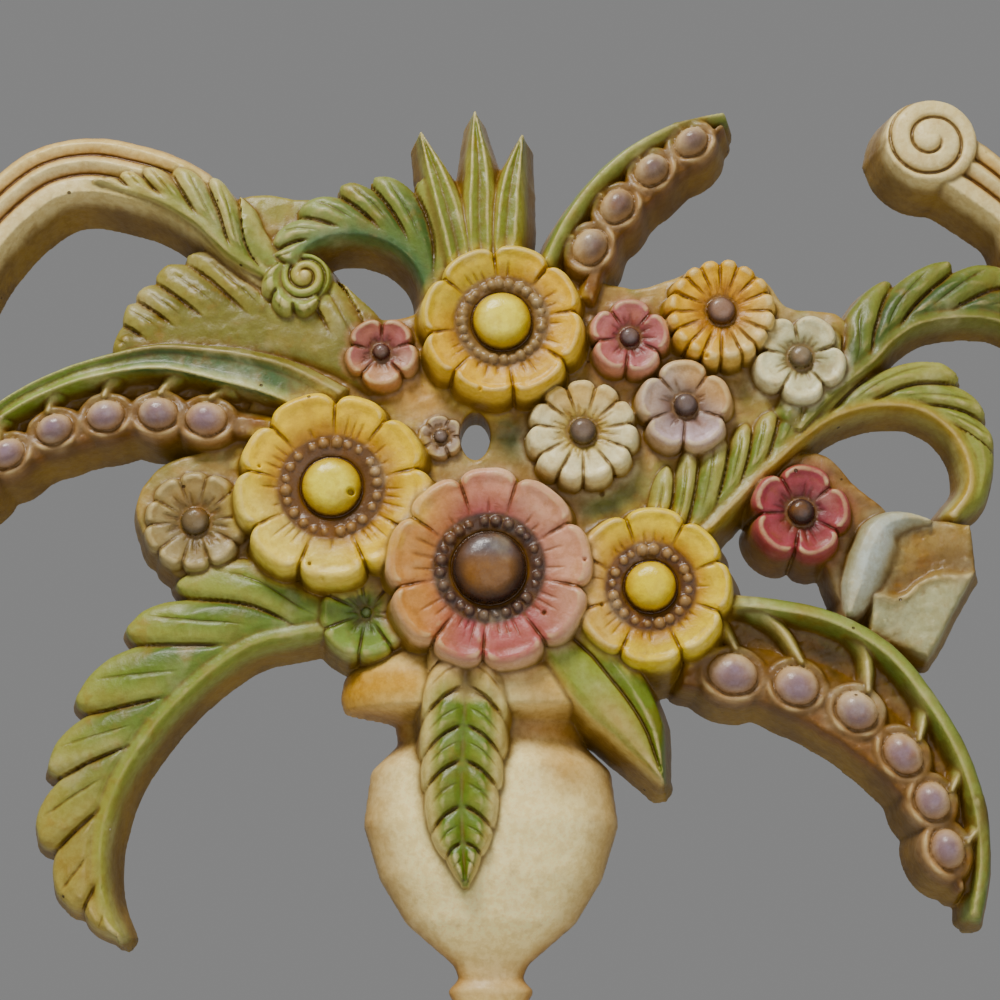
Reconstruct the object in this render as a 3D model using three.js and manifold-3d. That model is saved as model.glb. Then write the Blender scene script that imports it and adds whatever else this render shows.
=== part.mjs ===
// Decorative wall plaque: one plaster casting, an urn holding a bouquet, with leaves, pod sprays,
// scrolls and a ribbon end around it and clear openings between them.
// Millimetres, +Z up. The flat back lies on y = 0 and the relief stands forward, towards -Y.
// A depth is the distance from the back, so a point at depth d has y = -d.
import * as THREE from 'three';
import Module from 'manifold-3d';

const wasm = await Module();
wasm.setup();

const DRAFT = 0.2; // every wall leans out by this much for each millimetre of depth
const SPARE = 2; // solids are made this much too deep and the back is then cut flat
const LEAF_STEPS = 3; // stations to a leaf lobe
const PETAL_STEPS = 3;

// ---------------------------------------------------------------- shared helpers

function signedVolume(points, faces) {
  let sum = 0;
  for (const [a, b, c] of faces) {
    const [p, q, r] = [points[a], points[b], points[c]];
    sum += p[0] * (q[1] * r[2] - q[2] * r[1]);
    sum += p[1] * (q[2] * r[0] - q[0] * r[2]);
    sum += p[2] * (q[0] * r[1] - q[1] * r[0]);
  }
  return sum / 6;
}

function solidFrom(points, faces) {
  const outward = signedVolume(points, faces) > 0;
  const wound = outward ? faces : faces.map(([a, b, c]) => [a, c, b]);
  return new wasm.Manifold(new wasm.Mesh({
    numProp: 3,
    vertProperties: new Float32Array(points.flat()),
    triVerts: new Uint32Array(wound.flat()),
  }));
}

// A skin over equal closed rings. Each end closes on its own apex point, or, where there is none,
// as a fan from the ring's first point.
function skin(rings, firstApex, lastApex) {
  const size = rings[0].length;
  const points = rings.flat();
  const faces = [];
  for (let i = 0; i + 1 < rings.length; i += 1) {
    for (let k = 0; k < size; k += 1) {
      const next = (k + 1) % size;
      const a = i * size + k;
      const b = i * size + next;
      faces.push([a, b, a + size], [b, b + size, a + size]);
    }
  }
  const close = (base, apex, flip) => {
    const start = apex ? 0 : 1;
    const centre = apex ? points.push(apex) - 1 : base;
    const stop = apex ? size : size - 1;
    for (let k = start; k < stop; k += 1) {
      const a = base + k;
      const b = base + ((k + 1) % size);
      faces.push(flip ? [centre, b, a] : [centre, a, b]);
    }
  };
  close(0, firstApex, true);
  close((rings.length - 1) * size, lastApex, false);
  return solidFrom(points, faces);
}

// Evenly spaced values along 0..1, joined by straight lines.
function along(values) {
  return (u) => {
    const x = THREE.MathUtils.clamp(u, 0, 1) * (values.length - 1);
    const i = Math.min(Math.floor(x), values.length - 2);
    return THREE.MathUtils.lerp(values[i], values[i + 1], x - i);
  };
}

// A line through [x, z] points that gives the place at a distance s along it and an offset to the
// left of the direction of travel. It runs on straight past its end.
function spineThrough(places) {
  const curve = new THREE.CatmullRomCurve3(places.map(([x, z]) => new THREE.Vector3(x, 0, z)), false, 'centripetal');
  curve.arcLengthDivisions = 400;
  const length = curve.getLength();
  const at = (s, offset) => {
    const u = THREE.MathUtils.clamp(s / length, 0, 1);
    const point = curve.getPointAt(u);
    const tangent = curve.getTangentAt(u);
    const extra = s - u * length;
    return [
      point.x + tangent.x * extra - tangent.z * offset,
      point.z + tangent.z * extra + tangent.x * offset,
    ];
  };
  return { length, at };
}

// ---------------------------------------------------------------- bands: leaves, scrolls, stems

// lobes: { count, sweep, notch, groove, to } where sweep is how far a vein has run forward at the edge
// for each millimetre outward, notch is the share of the reach cut away between lobes, groove is the
// depth of the line between lobes and to is the share of the spine that carries lobes.
function phaseOf(lobes, u) {
  const place = (u / (lobes.to ?? 1)) * lobes.count;
  return place >= lobes.count ? 0.5 : place - Math.floor(place);
}

function edgeOf(side, s, length) {
  const { reach, lobes } = side;
  if (!lobes) return reach(s / length);
  const phase = phaseOf(lobes, s / length);
  const cut = 1 - lobes.notch * Math.max(1 - phase / 0.55, (phase - 0.8) / 0.2, 0) ** 2;
  let offset = 0;
  for (let i = 0; i < 14; i += 1) {
    const wanted = reach((s + lobes.sweep * offset) / length) * cut;
    offset += (wanted - offset) * 0.5;
  }
  return offset;
}

function stationsOf(band) {
  const lobes = band.left.lobes ?? band.right.lobes;
  const count = lobes ? Math.round((lobes.count * LEAF_STEPS) / (lobes.to ?? 1)) : band.stations;
  return Array.from({ length: count + 1 }, (_, i) => i / count);
}

// section: [q, rise] pairs from the left edge (q = 1) to the right edge (q = -1), the rise being
// measured from the crest depth.
function makeBand(band) {
  const { at, length } = spineThrough(band.spine);
  const rings = stationsOf(band).map((u) => {
    const s = u * length;
    const front = [];
    for (const [q, rise] of band.section) {
      const side = q > 0 ? band.left : band.right;
      const offset = Math.abs(q) * edgeOf(side, s, length);
      const sweep = side.lobes ? side.lobes.sweep : 0;
      const place = s + sweep * offset * (0.5 + 0.5 * Math.abs(q));
      const groove = side.lobes ? side.lobes.groove * (2 * phaseOf(side.lobes, u) - 1) ** 2 : 0;
      const depth = band.crest(place / length) + rise - groove * Math.abs(q);
      front.push({ place, offset: Math.sign(q) * offset, depth });
    }
    const first = front[0];
    const last = front[front.length - 1];
    const [leftX, leftZ] = at(first.place, first.offset + DRAFT * (first.depth + SPARE));
    const [rightX, rightZ] = at(last.place, last.offset - DRAFT * (last.depth + SPARE));
    const [midX, midZ] = at(s, (first.offset + last.offset) / 2);
    const ring = [[midX, SPARE, midZ], [leftX, SPARE, leftZ]];
    for (const { place, offset, depth } of front) {
      const [x, z] = at(place, offset);
      ring.push([x, -depth, z]);
    }
    ring.push([rightX, SPARE, rightZ]);
    return ring;
  });
  return skin(rings, null, null);
}

const plain = (values) => ({ reach: along(values) });
const lobed = (values, lobes) => ({ reach: along(values), lobes });

const LEAF_ONE_SIDE_LEFT = [[1, -3], [0.55, 0], [0, 0], [-1, -1.5]];
const LEAF_ONE_SIDE_RIGHT = [[1, -1.5], [0, 0], [-0.55, 0], [-1, -3]];
const LEAF_TWO_SIDES = [[1, -2.5], [0.5, 0.5], [0, -1], [-0.5, 0.5], [-1, -2.5]];
const MOULDING = [[1, -5], [0.84, -1.5], [0.66, -3], [0.5, 0], [0.32, -2.5], [0, -1]];

const leaves = [
  { // lower left acanthus
    spine: [[-34, -17], [-56.5, -21], [-70, -24], [-81, -31], [-93, -42], [-101, -52], [-109, -66], [-113, -82],
      [-112, -98], [-107, -110]],
    left: plain([2, 2, 2, 2, 2, 2, 2, 1.5, 1]),
    right: lobed([12, 20, 29, 30, 28, 26, 23, 21, 13, 1], { count: 7, sweep: 1.15, notch: 0.22, groove: 2 }),
    crest: along([16, 18, 18, 18, 18, 17, 15]),
    section: LEAF_ONE_SIDE_RIGHT,
  },
  { // broad leaf on the upper left
    spine: [[-36, 56], [-50, 64], [-66, 68], [-84, 67.5], [-102, 64.5], [-119, 60]],
    left: plain([2, 2]),
    right: lobed([14, 22, 29, 35, 37, 34, 24, 1], { count: 6, sweep: 0.8, notch: 0.07, groove: 2 }),
    crest: along([17, 16, 15]),
    section: LEAF_ONE_SIDE_RIGHT,
  },
  { // curling leaf beside the top blades
    spine: [[-18, 76], [-21.7, 93], [-28.7, 101], [-39.2, 105.2], [-49.6, 104.7], [-57.3, 100.6], [-60.7, 95]],
    left: plain([1, 1]),
    right: lobed([16, 26, 28, 27, 22, 17, 13, 8], { count: 6, sweep: 1, notch: 0.2, groove: 2.2 }),
    crest: along([18, 20, 20, 20]),
    section: LEAF_ONE_SIDE_RIGHT,
  },
  { // upper right leaf
    spine: [[94, 42], [106, 54.5], [118.2, 65], [124.8, 72], [132.2, 77], [142.2, 79.5], [156.6, 79], [168, 72],
      [174, 61]],
    left: lobed([10, 14, 16, 16.5, 18, 19.5, 18, 12, 1], { count: 7, sweep: 1.3, notch: 0.17, groove: 2.2 }),
    right: plain([1, 1]),
    crest: along([18, 17.5, 16, 14, 13, 12]),
    section: LEAF_ONE_SIDE_LEFT,
  },
  { // middle right leaf, its tip curled back to the ribbon
    spine: [[56, 0], [68, 13], [82, 27.5], [96, 40.5], [106.8, 47.5], [119.4, 50.8], [131.5, 49.8],
      [140.8, 43.5], [145.5, 34], [145.5, 25], [139.3, 16]],
    left: lobed([16, 24, 22, 17, 13, 13, 13, 18, 12, 6.5, 3], { count: 8, sweep: 1.6, notch: 0.16, groove: 2.2, to: 0.75 }),
    right: plain([1.5, 1.5]),
    crest: along([19, 18.5, 17, 15, 13, 15]),
    section: LEAF_ONE_SIDE_LEFT,
  },
  { // pointed leaf hanging over the urn rim
    spine: [[18, -22], [30, -36], [41, -49], [50.5, -65]],
    left: plain([10, 14, 12, 8, 0.5]),
    right: plain([6, 8, 8, 5, 0.5]),
    crest: along([24, 24, 24, 22]),
    section: LEAF_TWO_SIDES,
    stations: 8,
  },
  { // chevron leaf on the urn
    spine: [[-6.5, -26], [-7.5, -50], [-8, -76], [-7, -95]],
    left: lobed([11, 12, 12, 11, 9, 1], { count: 4, sweep: 0.9, notch: 0.12, groove: 1.2 }),
    right: lobed([11, 12, 12, 11, 9, 1], { count: 4, sweep: 0.9, notch: 0.12, groove: 1.2 }),
    crest: along([25, 25, 24, 22]),
    section: LEAF_TWO_SIDES,
  },
  // three blades above the top flower
  ...[
    [[-8, 88], [-12, 108], [-16.5, 124], [-22, 140]],
    [[-2, 88], [-3.5, 108], [-3.5, 126], [-5, 147]],
    [[4, 88], [5, 105], [6.5, 122], [10, 139]],
  ].map((spine) => ({
    spine,
    left: plain([4, 5, 5, 3.5, 0.5]),
    right: plain([4, 5, 5, 3.5, 0.5]),
    crest: along([22, 22, 21, 19]),
    section: LEAF_TWO_SIDES,
    stations: 6,
  })),
];

const scrolls = [
  { // left scroll, arching out from the leaves and down
    spine: [[-70, 88], [-79.8, 96], [-91.3, 106.2], [-103, 113.5], [-115.3, 117.2], [-125, 119], [-134.3, 117.2],
      [-144, 110], [-151.8, 100.6], [-158, 90], [-162, 78], [-164, 62], [-162, 48]],
    left: plain([0.8, 0.8]),
    right: plain([8, 13, 17, 19, 20, 20, 20, 19, 18, 16, 14, 12, 10]),
    crest: along([17, 20, 21, 21, 21, 20, 18]),
    section: MOULDING.map(([q, rise]) => [-q, rise]).reverse(),
    stations: 18,
  },
  { // right scroll, rising from the upper right leaf
    spine: [[167, 84], [163, 99], [159.5, 108.5], [150, 116.5], [139.5, 123.5], [130, 128], [124, 136]],
    left: plain([0.8, 0.8]),
    right: plain([8, 12, 16, 19, 20, 19, 14]),
    crest: along([16, 19, 20, 21, 21]),
    section: MOULDING.map(([q, rise]) => [-q, rise]).reverse(),
    stations: 10,
  },
];

// ---------------------------------------------------------------- discs: flowers, volutes, pods

// rings: [radius, depth] pairs from the middle outwards. petals notch the outer edge and groove the
// rings that lie beyond the root radius.
function makeDisc({ at: [cx, cz], rings, petals, root, notch, groove, steps, turn, tilt }) {
  const around = petals ? petals * steps : steps;
  const [tiltX, tiltZ] = tilt ?? [0, 0];
  const edge = rings[rings.length - 1][0];
  const ringAt = (radius, depth) => Array.from({ length: around }, (_, k) => {
    const angle = THREE.MathUtils.degToRad(turn ?? 0) + (2 * Math.PI * k) / around;
    const off = petals ? Math.abs((2 * (k % steps)) / steps - 1) : 0;
    const outward = petals && radius > root ? (radius - root) / (edge - root) : 0;
    const reach = radius * (1 - (petals ? notch : 0) * outward * off ** 3);
    const x = reach * Math.cos(angle);
    const z = reach * Math.sin(angle);
    const cut = petals && radius > root ? groove * off ** 3 : 0;
    return [cx + x, -(depth - cut + tiltX * x + tiltZ * z), cz + z];
  });
  const loops = rings.slice(1).map(([radius, depth]) => ringAt(radius, depth));
  const rim = loops[loops.length - 1];
  loops.push(rim.map(([x, y, z]) => {
    const grow = 1 + (DRAFT * (SPARE - y)) / Math.hypot(x - cx, z - cz);
    return [cx + (x - cx) * grow, SPARE, cz + (z - cz) * grow];
  }));
  return skin(loops, [cx, -rings[0][1], cz], [cx, SPARE, cz]);
}

// A broad flower: domed boss, a ring of stamens in a dip, then petals.
function broadFlower({ at, radius, front, petals, boss, rise, stamens, turn, tilt }) {
  const rings = [
    [0, front + rise], [boss * 0.75, front + rise * 0.7], [boss, front - 1.5], [stamens + 1.5, front - 1.5],
    [radius * 0.8, front], [radius, front - 3],
  ];
  return makeDisc({
    at, rings, petals, root: stamens + 2, notch: 0.1, groove: 1.8, steps: PETAL_STEPS, turn, tilt,
  });
}

// A small flower: a button and petals.
function smallFlower({ at, radius, front, petals, boss, rise, notch, steps, turn, tilt }) {
  const rings = [
    [0, front + rise], [boss, front - 1], [radius * 0.7, front], [radius, front - 2],
  ];
  return makeDisc({ at, rings, petals, root: boss + 0.5, notch, groove: 1.2, steps, turn, tilt });
}

const BROAD_FLOWERS = [
  { at: [-47.3, 22], radius: 29.9, front: 28, petals: 9, boss: 9, rise: 3.5, stamens: 14.4, turn: 12 },
  { at: [-0.2, -3.3], radius: 30.8, front: 30, petals: 9, boss: 10.8, rise: 4, stamens: 15.6, turn: 30 },
  { at: [3.6, 74.6], radius: 25.1, front: 27, petals: 8, boss: 9, rise: 4, stamens: 12.6, turn: 8 },
  { at: [47.5, -8.5], radius: 24.2, front: 28, petals: 8, boss: 7.5, rise: 3.5, stamens: 12, turn: 20, tilt: [0.06, 0] },
];

const SMALL_FLOWERS = [
  { at: [70.8, 78.8], radius: 16.8, front: 24, petals: 16, boss: 4.5, rise: 1.5, notch: 0.07, steps: 2 },
  { at: [-33.4, 66.7], radius: 11.3, front: 20, petals: 5, boss: 3, rise: 1, notch: 0.25, steps: 3, turn: 18 },
  { at: [42.7, 70.9], radius: 12.5, front: 22, petals: 5, boss: 3, rise: 1, notch: 0.22, steps: 3, turn: 50 },
  { at: [28.1, 40.6], radius: 16.8, front: 23, petals: 11, boss: 4.2, rise: 1.5, notch: 0.1, steps: 2, turn: 10 },
  { at: [59.4, 49.1], radius: 14.6, front: 22, petals: 5, boss: 3.6, rise: 1.5, notch: 0.22, steps: 3, turn: 55 },
  { at: [94.9, 64.8], radius: 14.4, front: 21, petals: 5, boss: 3.6, rise: 1.5, notch: 0.26, steps: 3, turn: 20 },
  { at: [93.7, 16.1], radius: 15.3, front: 20, petals: 5, boss: 4, rise: 1.5, notch: 0.22, steps: 3, turn: 40 },
  { at: [-88.8, 13.5], radius: 15.6, front: 19, petals: 10, boss: 4.5, rise: 1, notch: 0.1, steps: 2, turn: 5 },
  { at: [-15, 40.5], radius: 6.8, front: 17, petals: 5, boss: 2.2, rise: 1, notch: 0.15, steps: 3, turn: 0 },
  { at: [-36.9, -14.5], radius: 14.1, front: 18.5, petals: 7, boss: 2.5, rise: 0.5, notch: 0.06, steps: 2, turn: 0 },
];

const VOLUTES = [
  { at: [-57.5, 91.5], radius: 7.5, front: 20 },
  { at: [-163, 38], radius: 12, front: 19 },
  { at: [138, 136], radius: 14, front: 22.5 },
];

function volute({ at, radius, front }) {
  const rings = [
    [0, front + 1], [radius * 0.28, front], [radius * 0.45, front - 2], [radius * 0.75, front], [radius, front - 2],
  ];
  return makeDisc({ at, rings, steps: 10, turn: 18 });
}

// ---------------------------------------------------------------- pod sprays

// A spray: a sunk floor, a rib along its upper edge and round pods in shallow cups.
const SPRAYS = [
  { // left
    rib: [[-50, 44], [-65.5, 51.8], [-80.9, 56.3], [-101.5, 60.7], [-123.5, 57.2], [-137.7, 51.8], [-148.4, 45.6],
      [-160, 36], [-167, 24]],
    ribReach: [13, 13, 12, 9, 7, 6, 5.5, 4, 1],
    ribLip: 1,
    ribSide: -1,
    floor: [[-62, 47], [-81, 50.5], [-101, 54], [-122, 51], [-138, 45], [-150, 36], [-161, 26]],
    floorLeft: [8, 9, 11, 12.5, 12, 10, 4],
    floorRight: [8, 8, 8, 8, 7, 6, 3],
    podSide: 1,
    pods: [[-86.3, 45.3], [-101, 47], [-116.9, 46.3], [-132.3, 42], [-146, 34.3], [-156.5, 25.5]],
    radius: 5.7,
  },
  { // lower right
    rib: [[60, -12], [70.8, -11.8], [86, -13.6], [102.4, -17.6], [118.5, -27.7], [129.9, -42.6], [137.8, -57.4],
      [142.1, -71.9], [143, -88], [140, -104]],
    ribReach: [3, 3, 3, 3, 3, 3, 3, 3, 2, 1],
    ribLip: 2.6,
    ribSide: -1,
    floor: [[58, -24], [74, -25], [90, -28], [106, -34], [120, -46], [131, -62], [136, -78], [138, -96]],
    floorLeft: [13, 13, 13, 12, 10, 8, 6, 3],
    floorRight: [12, 14, 17, 18, 16, 13, 8, 2],
    podSide: -1,
    pods: [[71.8, -33.4], [90.5, -37], [107.9, -44.4], [121, -57.3], [129, -71], [132.8, -85]],
    radius: 6.6,
  },
  { // top
    rib: [[16, 90], [20, 100], [25, 110], [32, 120], [43, 131], [57, 140], [74, 147]],
    ribReach: [3, 3, 3, 3, 3, 3, 1],
    ribLip: 2,
    ribSide: 1,
    floor: [[26, 86], [31, 98], [38, 110], [48, 122], [60, 133], [72, 143]],
    floorLeft: [12, 10, 9, 8, 7, 3],
    floorRight: [6, 5, 4.5, 5, 5, 2],
    podSide: -1,
    pods: [[31, 101], [39.5, 114.5], [50.5, 126.5], [63, 136]],
    radius: 5.6,
  },
];

const SPRAY_FLOOR = 13;
const RIB_CREST = 22;
const SHELF_RISE = 6; // the side of the floor that carries the pods stands this much higher
const CUP_RIM = 18.5;
const POD_FRONT = 24;
const POD_TAPER = 0.04; // each pod is this share of the first smaller than the one before
const POD_STEPS = 6;

function makeSpray({ rib, ribReach, ribLip, ribSide, floor, floorLeft, floorRight, podSide, pods, radius }) {
  const grown = plain(ribReach);
  const thin = plain([ribLip, ribLip]);
  const ribBand = makeBand({
    spine: rib,
    left: ribSide > 0 ? grown : thin,
    right: ribSide > 0 ? thin : grown,
    crest: along([20, RIB_CREST, RIB_CREST, RIB_CREST, 20, 17]),
    section: ribSide > 0 ? [[1, -3.5], [0.4, 0], [-1, -2]] : [[1, -2], [-0.4, 0], [-1, -3.5]],
    stations: 10,
  });
  const floorBand = makeBand({
    spine: floor,
    left: plain(floorLeft),
    right: plain(floorRight),
    crest: along([SPRAY_FLOOR, SPRAY_FLOOR]),
    section: podSide > 0 ? [[1, SHELF_RISE], [0.3, SHELF_RISE], [-1, 0]] : [[1, 0], [-0.3, SHELF_RISE], [-1, SHELF_RISE]],
    stations: 8,
  });
  const cups = pods.map((at, k) => {
    const r = radius * (1 - POD_TAPER * k);
    return makeDisc({
      at,
      rings: [[0, POD_FRONT], [r * 0.9, POD_FRONT - 3.5], [r + 2.6, CUP_RIM]],
      steps: POD_STEPS,
    });
  });
  return [ribBand, floorBand, ...cups];
}

// ---------------------------------------------------------------- urn

const URN_X = 0.3;
const URN_STEPS = 8;
const URN_FLATTEN = 0.54; // depth of the half-round urn for each millimetre of its radius
const URN_PROFILE = [
  [34, -22], [44.5, -32], [45.5, -38], [44, -43], [29, -45.5], [28, -52], [36, -60], [38, -76],
  [33, -92], [25, -105], [11, -117], [9.5, -121], [13, -124.5], [10, -129], [16, -135], [30, -140], [30, -147],
];

function makeUrn() {
  const rings = URN_PROFILE.map(([radius, z]) => {
    const ring = [[URN_X, SPARE, z]];
    for (let k = 0; k <= URN_STEPS; k += 1) {
      const angle = (Math.PI * k) / URN_STEPS;
      const depth = k === 0 || k === URN_STEPS ? -SPARE : radius * URN_FLATTEN * Math.sin(angle) ** 0.8;
      ring.push([URN_X + radius * Math.cos(angle), -depth, z]);
    }
    return ring;
  });
  return skin(rings, null, null);
}

// ---------------------------------------------------------------- ground and ribbon

// A flat-fronted plate inside a smooth closed line, its wall leaning out to the back.
function makePlate({ outline, depth, samples }) {
  const curve = new THREE.CatmullRomCurve3(outline.map(([x, z]) => new THREE.Vector3(x, 0, z)), true, 'centripetal');
  const places = curve.getSpacedPoints(samples).slice(0, samples);
  const front = places.map(({ x, z }) => [x, -depth, z]);
  const back = places.map(({ x, z }, k) => {
    const before = places[(k + samples - 1) % samples];
    const after = places[(k + 1) % samples];
    const run = Math.hypot(after.x - before.x, after.z - before.z);
    const out = (DRAFT * (depth + SPARE)) / run;
    return [x + (after.z - before.z) * out, SPARE, z - (after.x - before.x) * out];
  });
  const faces = [];
  for (let k = 0; k < samples; k += 1) {
    const next = (k + 1) % samples;
    faces.push([k, k + samples, next], [next, k + samples, next + samples]);
  }
  const cap = (loop) => THREE.ShapeUtils.triangulateShape(loop.map(([x, , z]) => new THREE.Vector2(x, z)), []);
  for (const [a, b, c] of cap(front)) faces.push([a, b, c]);
  for (const [a, b, c] of cap(back)) faces.push([a + samples, c + samples, b + samples]);
  return solidFrom([...front, ...back], faces);
}

// Outlines run anticlockwise as seen from the front.
const GROUNDS = [
  { // under the bouquet
    outline: [[-76, -6], [-56, -16], [-34, -25], [0, -34], [30, -32], [52, -26], [64, -14], [64, 6], [74, 22],
      [92, 40], [102, 52], [112, 68], [108, 80], [92, 83], [85, 92], [71, 97], [56, 92], [46, 89], [30, 92],
      [10, 94], [-12, 92], [-20, 82], [-34, 79], [-46, 83], [-62, 84], [-70, 60], [-80, 40], [-101, 31], [-107, 18],
      [-95, -2]],
    depth: 14.5,
    samples: 36,
  },
  { // between the left scroll, the broad leaf and the curling leaf
    outline: [[-84, 90], [-62, 86], [-54, 100], [-48, 118], [-62, 119.5], [-72, 121], [-82, 118], [-88, 104]],
    depth: 13,
    samples: 16,
  },
  { // around the right hand red flower
    outline: [[90, 11.5], [100, 4], [107, -11], [114, -6], [122, 10], [120, 18], [112, 25], [101, 36], [84, 31], [79, 18]],
    depth: 13,
    samples: 18,
  },
];

const RIBBON = [
  { // flat end
    spine: [[131, 15], [129, 2], [126, -12], [121.5, -23]],
    left: plain([14, 17, 12, 10]),
    right: plain([8, 8, 12, 8]),
    crest: along([15, 15, 14, 12]),
    section: [[1, 0.4], [0.2, -1.2], [-1, 0.4]],
    stations: 4,
  },
  { // turned-over edge
    spine: [[107.5, -15], [111, -5], [114, 4], [119, 12], [126, 14.5], [133, 14]],
    left: plain([1.5, 4.5, 5, 5, 3, 1]),
    right: plain([3, 4.5, 4.5, 4, 3, 1]),
    crest: along([18.5, 20.5, 20.5, 20, 18.5, 16.5]),
    section: [[1, -2.2], [0, 0], [-1, -2.2]],
    stations: 6,
  },
];

// The small oval gap above the pink flower.
const OVAL = { at: [-4.6, 41.5], half: [4.6, 7.5], depth: 40, steps: 20 };

function makeOval({ at: [cx, cz], half: [halfX, halfZ], depth, steps }) {
  const ring = (y) => Array.from({ length: steps }, (_, k) => {
    const angle = (2 * Math.PI * k) / steps;
    return [cx + halfX * Math.cos(angle), y, cz + halfZ * Math.sin(angle)];
  });
  return skin([ring(-depth), ring(5)], [cx, -depth, cz], [cx, 5, cz]);
}

// ---------------------------------------------------------------- the casting

// Everything behind y = 0, so that the back is cut flat in one plane.
function behindTheWall() {
  const side = 300;
  const square = (y) => [[-side, y, -side], [side, y, -side], [side, y, side], [-side, y, side]];
  return skin([square(0), square(SPARE * 3)], null, null);
}

const parts = [
  makeUrn(),
  ...GROUNDS.map(makePlate),
  ...leaves.map(makeBand),
  ...scrolls.map(makeBand),
  ...RIBBON.map(makeBand),
  ...VOLUTES.map(volute),
  ...SPRAYS.flatMap(makeSpray),
  ...SMALL_FLOWERS.map(smallFlower),
];
const pierced = wasm.Manifold.union(parts).subtract(makeOval(OVAL));
const plaque = wasm.Manifold.union([pierced, ...BROAD_FLOWERS.map(broadFlower)]).subtract(behindTheWall());

function meshOf(solid, name) {
  const { vertProperties, triVerts } = solid.getMesh();
  const geometry = new THREE.BufferGeometry();
  geometry.setAttribute('position', new THREE.BufferAttribute(new Float32Array(vertProperties), 3));
  geometry.setIndex(new THREE.BufferAttribute(new Uint32Array(triVerts), 1));
  const material = new THREE.MeshStandardMaterial({ name: 'painted_plaster', color: 0xc9b458, roughness: 0.5 });
  const mesh = new THREE.Mesh(geometry, material);
  mesh.name = name;
  return mesh;
}

const model = new THREE.Group();
model.name = 'decorative_wall_plaque';
model.add(meshOf(plaque, 'plaque'));
export default model;
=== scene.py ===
# Decorative wall plaque: the painted plaster casting with its fine relief.
#
# Every form (flower, leaf, scroll, pod, urn, ground) is an element with an outline in plan and a depth over
# it. Together they make one distance field, whose surface is the casting, and their paint is stored on its
# vertices. Lengths are millimetres until the mesh is stored in metres. x runs to the right and z up, as in
# the frame, and depth is the distance forward from the flat back.
import math
import bmesh
import bpy
import numpy as np
import openvdb
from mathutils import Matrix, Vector


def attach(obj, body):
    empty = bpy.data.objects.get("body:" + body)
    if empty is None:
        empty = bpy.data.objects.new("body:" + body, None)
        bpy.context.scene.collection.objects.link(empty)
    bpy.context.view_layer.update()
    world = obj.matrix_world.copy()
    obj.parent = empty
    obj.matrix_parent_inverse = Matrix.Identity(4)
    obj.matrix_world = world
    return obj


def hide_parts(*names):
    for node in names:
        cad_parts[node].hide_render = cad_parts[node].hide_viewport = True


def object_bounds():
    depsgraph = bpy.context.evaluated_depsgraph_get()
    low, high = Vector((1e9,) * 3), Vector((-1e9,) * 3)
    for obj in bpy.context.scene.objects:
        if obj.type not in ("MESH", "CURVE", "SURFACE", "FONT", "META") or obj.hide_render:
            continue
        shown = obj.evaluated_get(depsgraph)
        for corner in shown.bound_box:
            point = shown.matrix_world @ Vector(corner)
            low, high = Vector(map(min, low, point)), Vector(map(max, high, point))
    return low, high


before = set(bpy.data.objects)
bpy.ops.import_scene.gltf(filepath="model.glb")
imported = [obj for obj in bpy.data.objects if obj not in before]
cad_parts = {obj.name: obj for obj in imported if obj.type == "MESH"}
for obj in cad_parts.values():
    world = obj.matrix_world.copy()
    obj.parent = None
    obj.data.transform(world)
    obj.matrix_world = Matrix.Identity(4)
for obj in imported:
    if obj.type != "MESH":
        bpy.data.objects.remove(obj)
cad_low, cad_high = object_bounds()

CELL = 0.5  # side of the field's cells
TRIANGLES = 190000
DRAFT = 0.2  # every wall leans out by this much for each millimetre of depth
WALL_SCALE = 1 / math.hypot(1, DRAFT)
JOIN_ROUND = 0.7  # fillet where two elements meet
HOLE_ROUND = 1.2  # rounding of the oval hole's edge
STEEPEST = 2.5  # a front steeper than this counts as this steep
BAND = 3.0  # the field is kept only this near the surface
BLEED = 3.4  # colour is brushed this far over from one form to the next
BLEED_SHARE = 0.5  # and makes up this share where they meet
DEEPEST = 36.0  # a little more than the deepest relief
LEVELS = np.arange(-1.5, DEEPEST, CELL)
RIPPLE_RISE = 0.25  # the hand-finished surface wavers by this much
HOLE_DEPTH = 2.2  # depth of an air hole for each millimetre of its radius
FAR = 9.0  # stands for no carved line near

rng = np.random.default_rng(11)

# ---------------------------------------------------------------- numbers and curves


def srgb(r, g, b):
    c = np.array([r, g, b], float) / 255
    return np.where(c <= 0.04045, c / 12.92, ((c + 0.055) / 1.055) ** 2.4)


def step(low, high, v):
    t = np.clip((v - low) / (high - low), 0, 1)
    return t * t * (3 - 2 * t)


def mix(a, b, t):
    return a + (b - a) * np.asarray(t)[..., None]


def smooth_max(a, b, k):
    h = np.maximum(k - np.abs(a - b), 0) / k
    return np.maximum(a, b) + h * h * k / 4


def smooth_min(a, b, k):
    return -smooth_max(-a, -b, k)


def dent(distance, width):
    return np.exp(-(distance / width) ** 2)


def groove(distance, width):
    """A V cut: 1 on the line and 0 beyond the width."""
    return np.maximum(1 - np.abs(distance) / width, 0) ** 1.3


def along(values):
    """Evenly spaced values on 0..1 joined by straight lines."""
    places = np.linspace(0, 1, len(values))
    return lambda u: np.interp(u, places, values)


def waves(count, shortest, longest):
    """A smooth random surface: the sum of waves of random direction."""
    angle = rng.uniform(0, math.pi, count)
    length = np.geomspace(shortest, longest, count)
    phase = rng.uniform(0, 2 * math.pi, count)

    def at(x, z):
        total = 0
        for a, w, p in zip(angle, length, phase):
            k = 2 * math.pi / w
            swerve = np.sin(k * 0.7 * (z - x))
            total = total + np.sin(k * (x * math.cos(a) + z * math.sin(a)) + p + swerve)
        return total / count
    return at


RIPPLE = waves(9, 5, 40)
ROUGH = waves(8, 2.2, 7)


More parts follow.
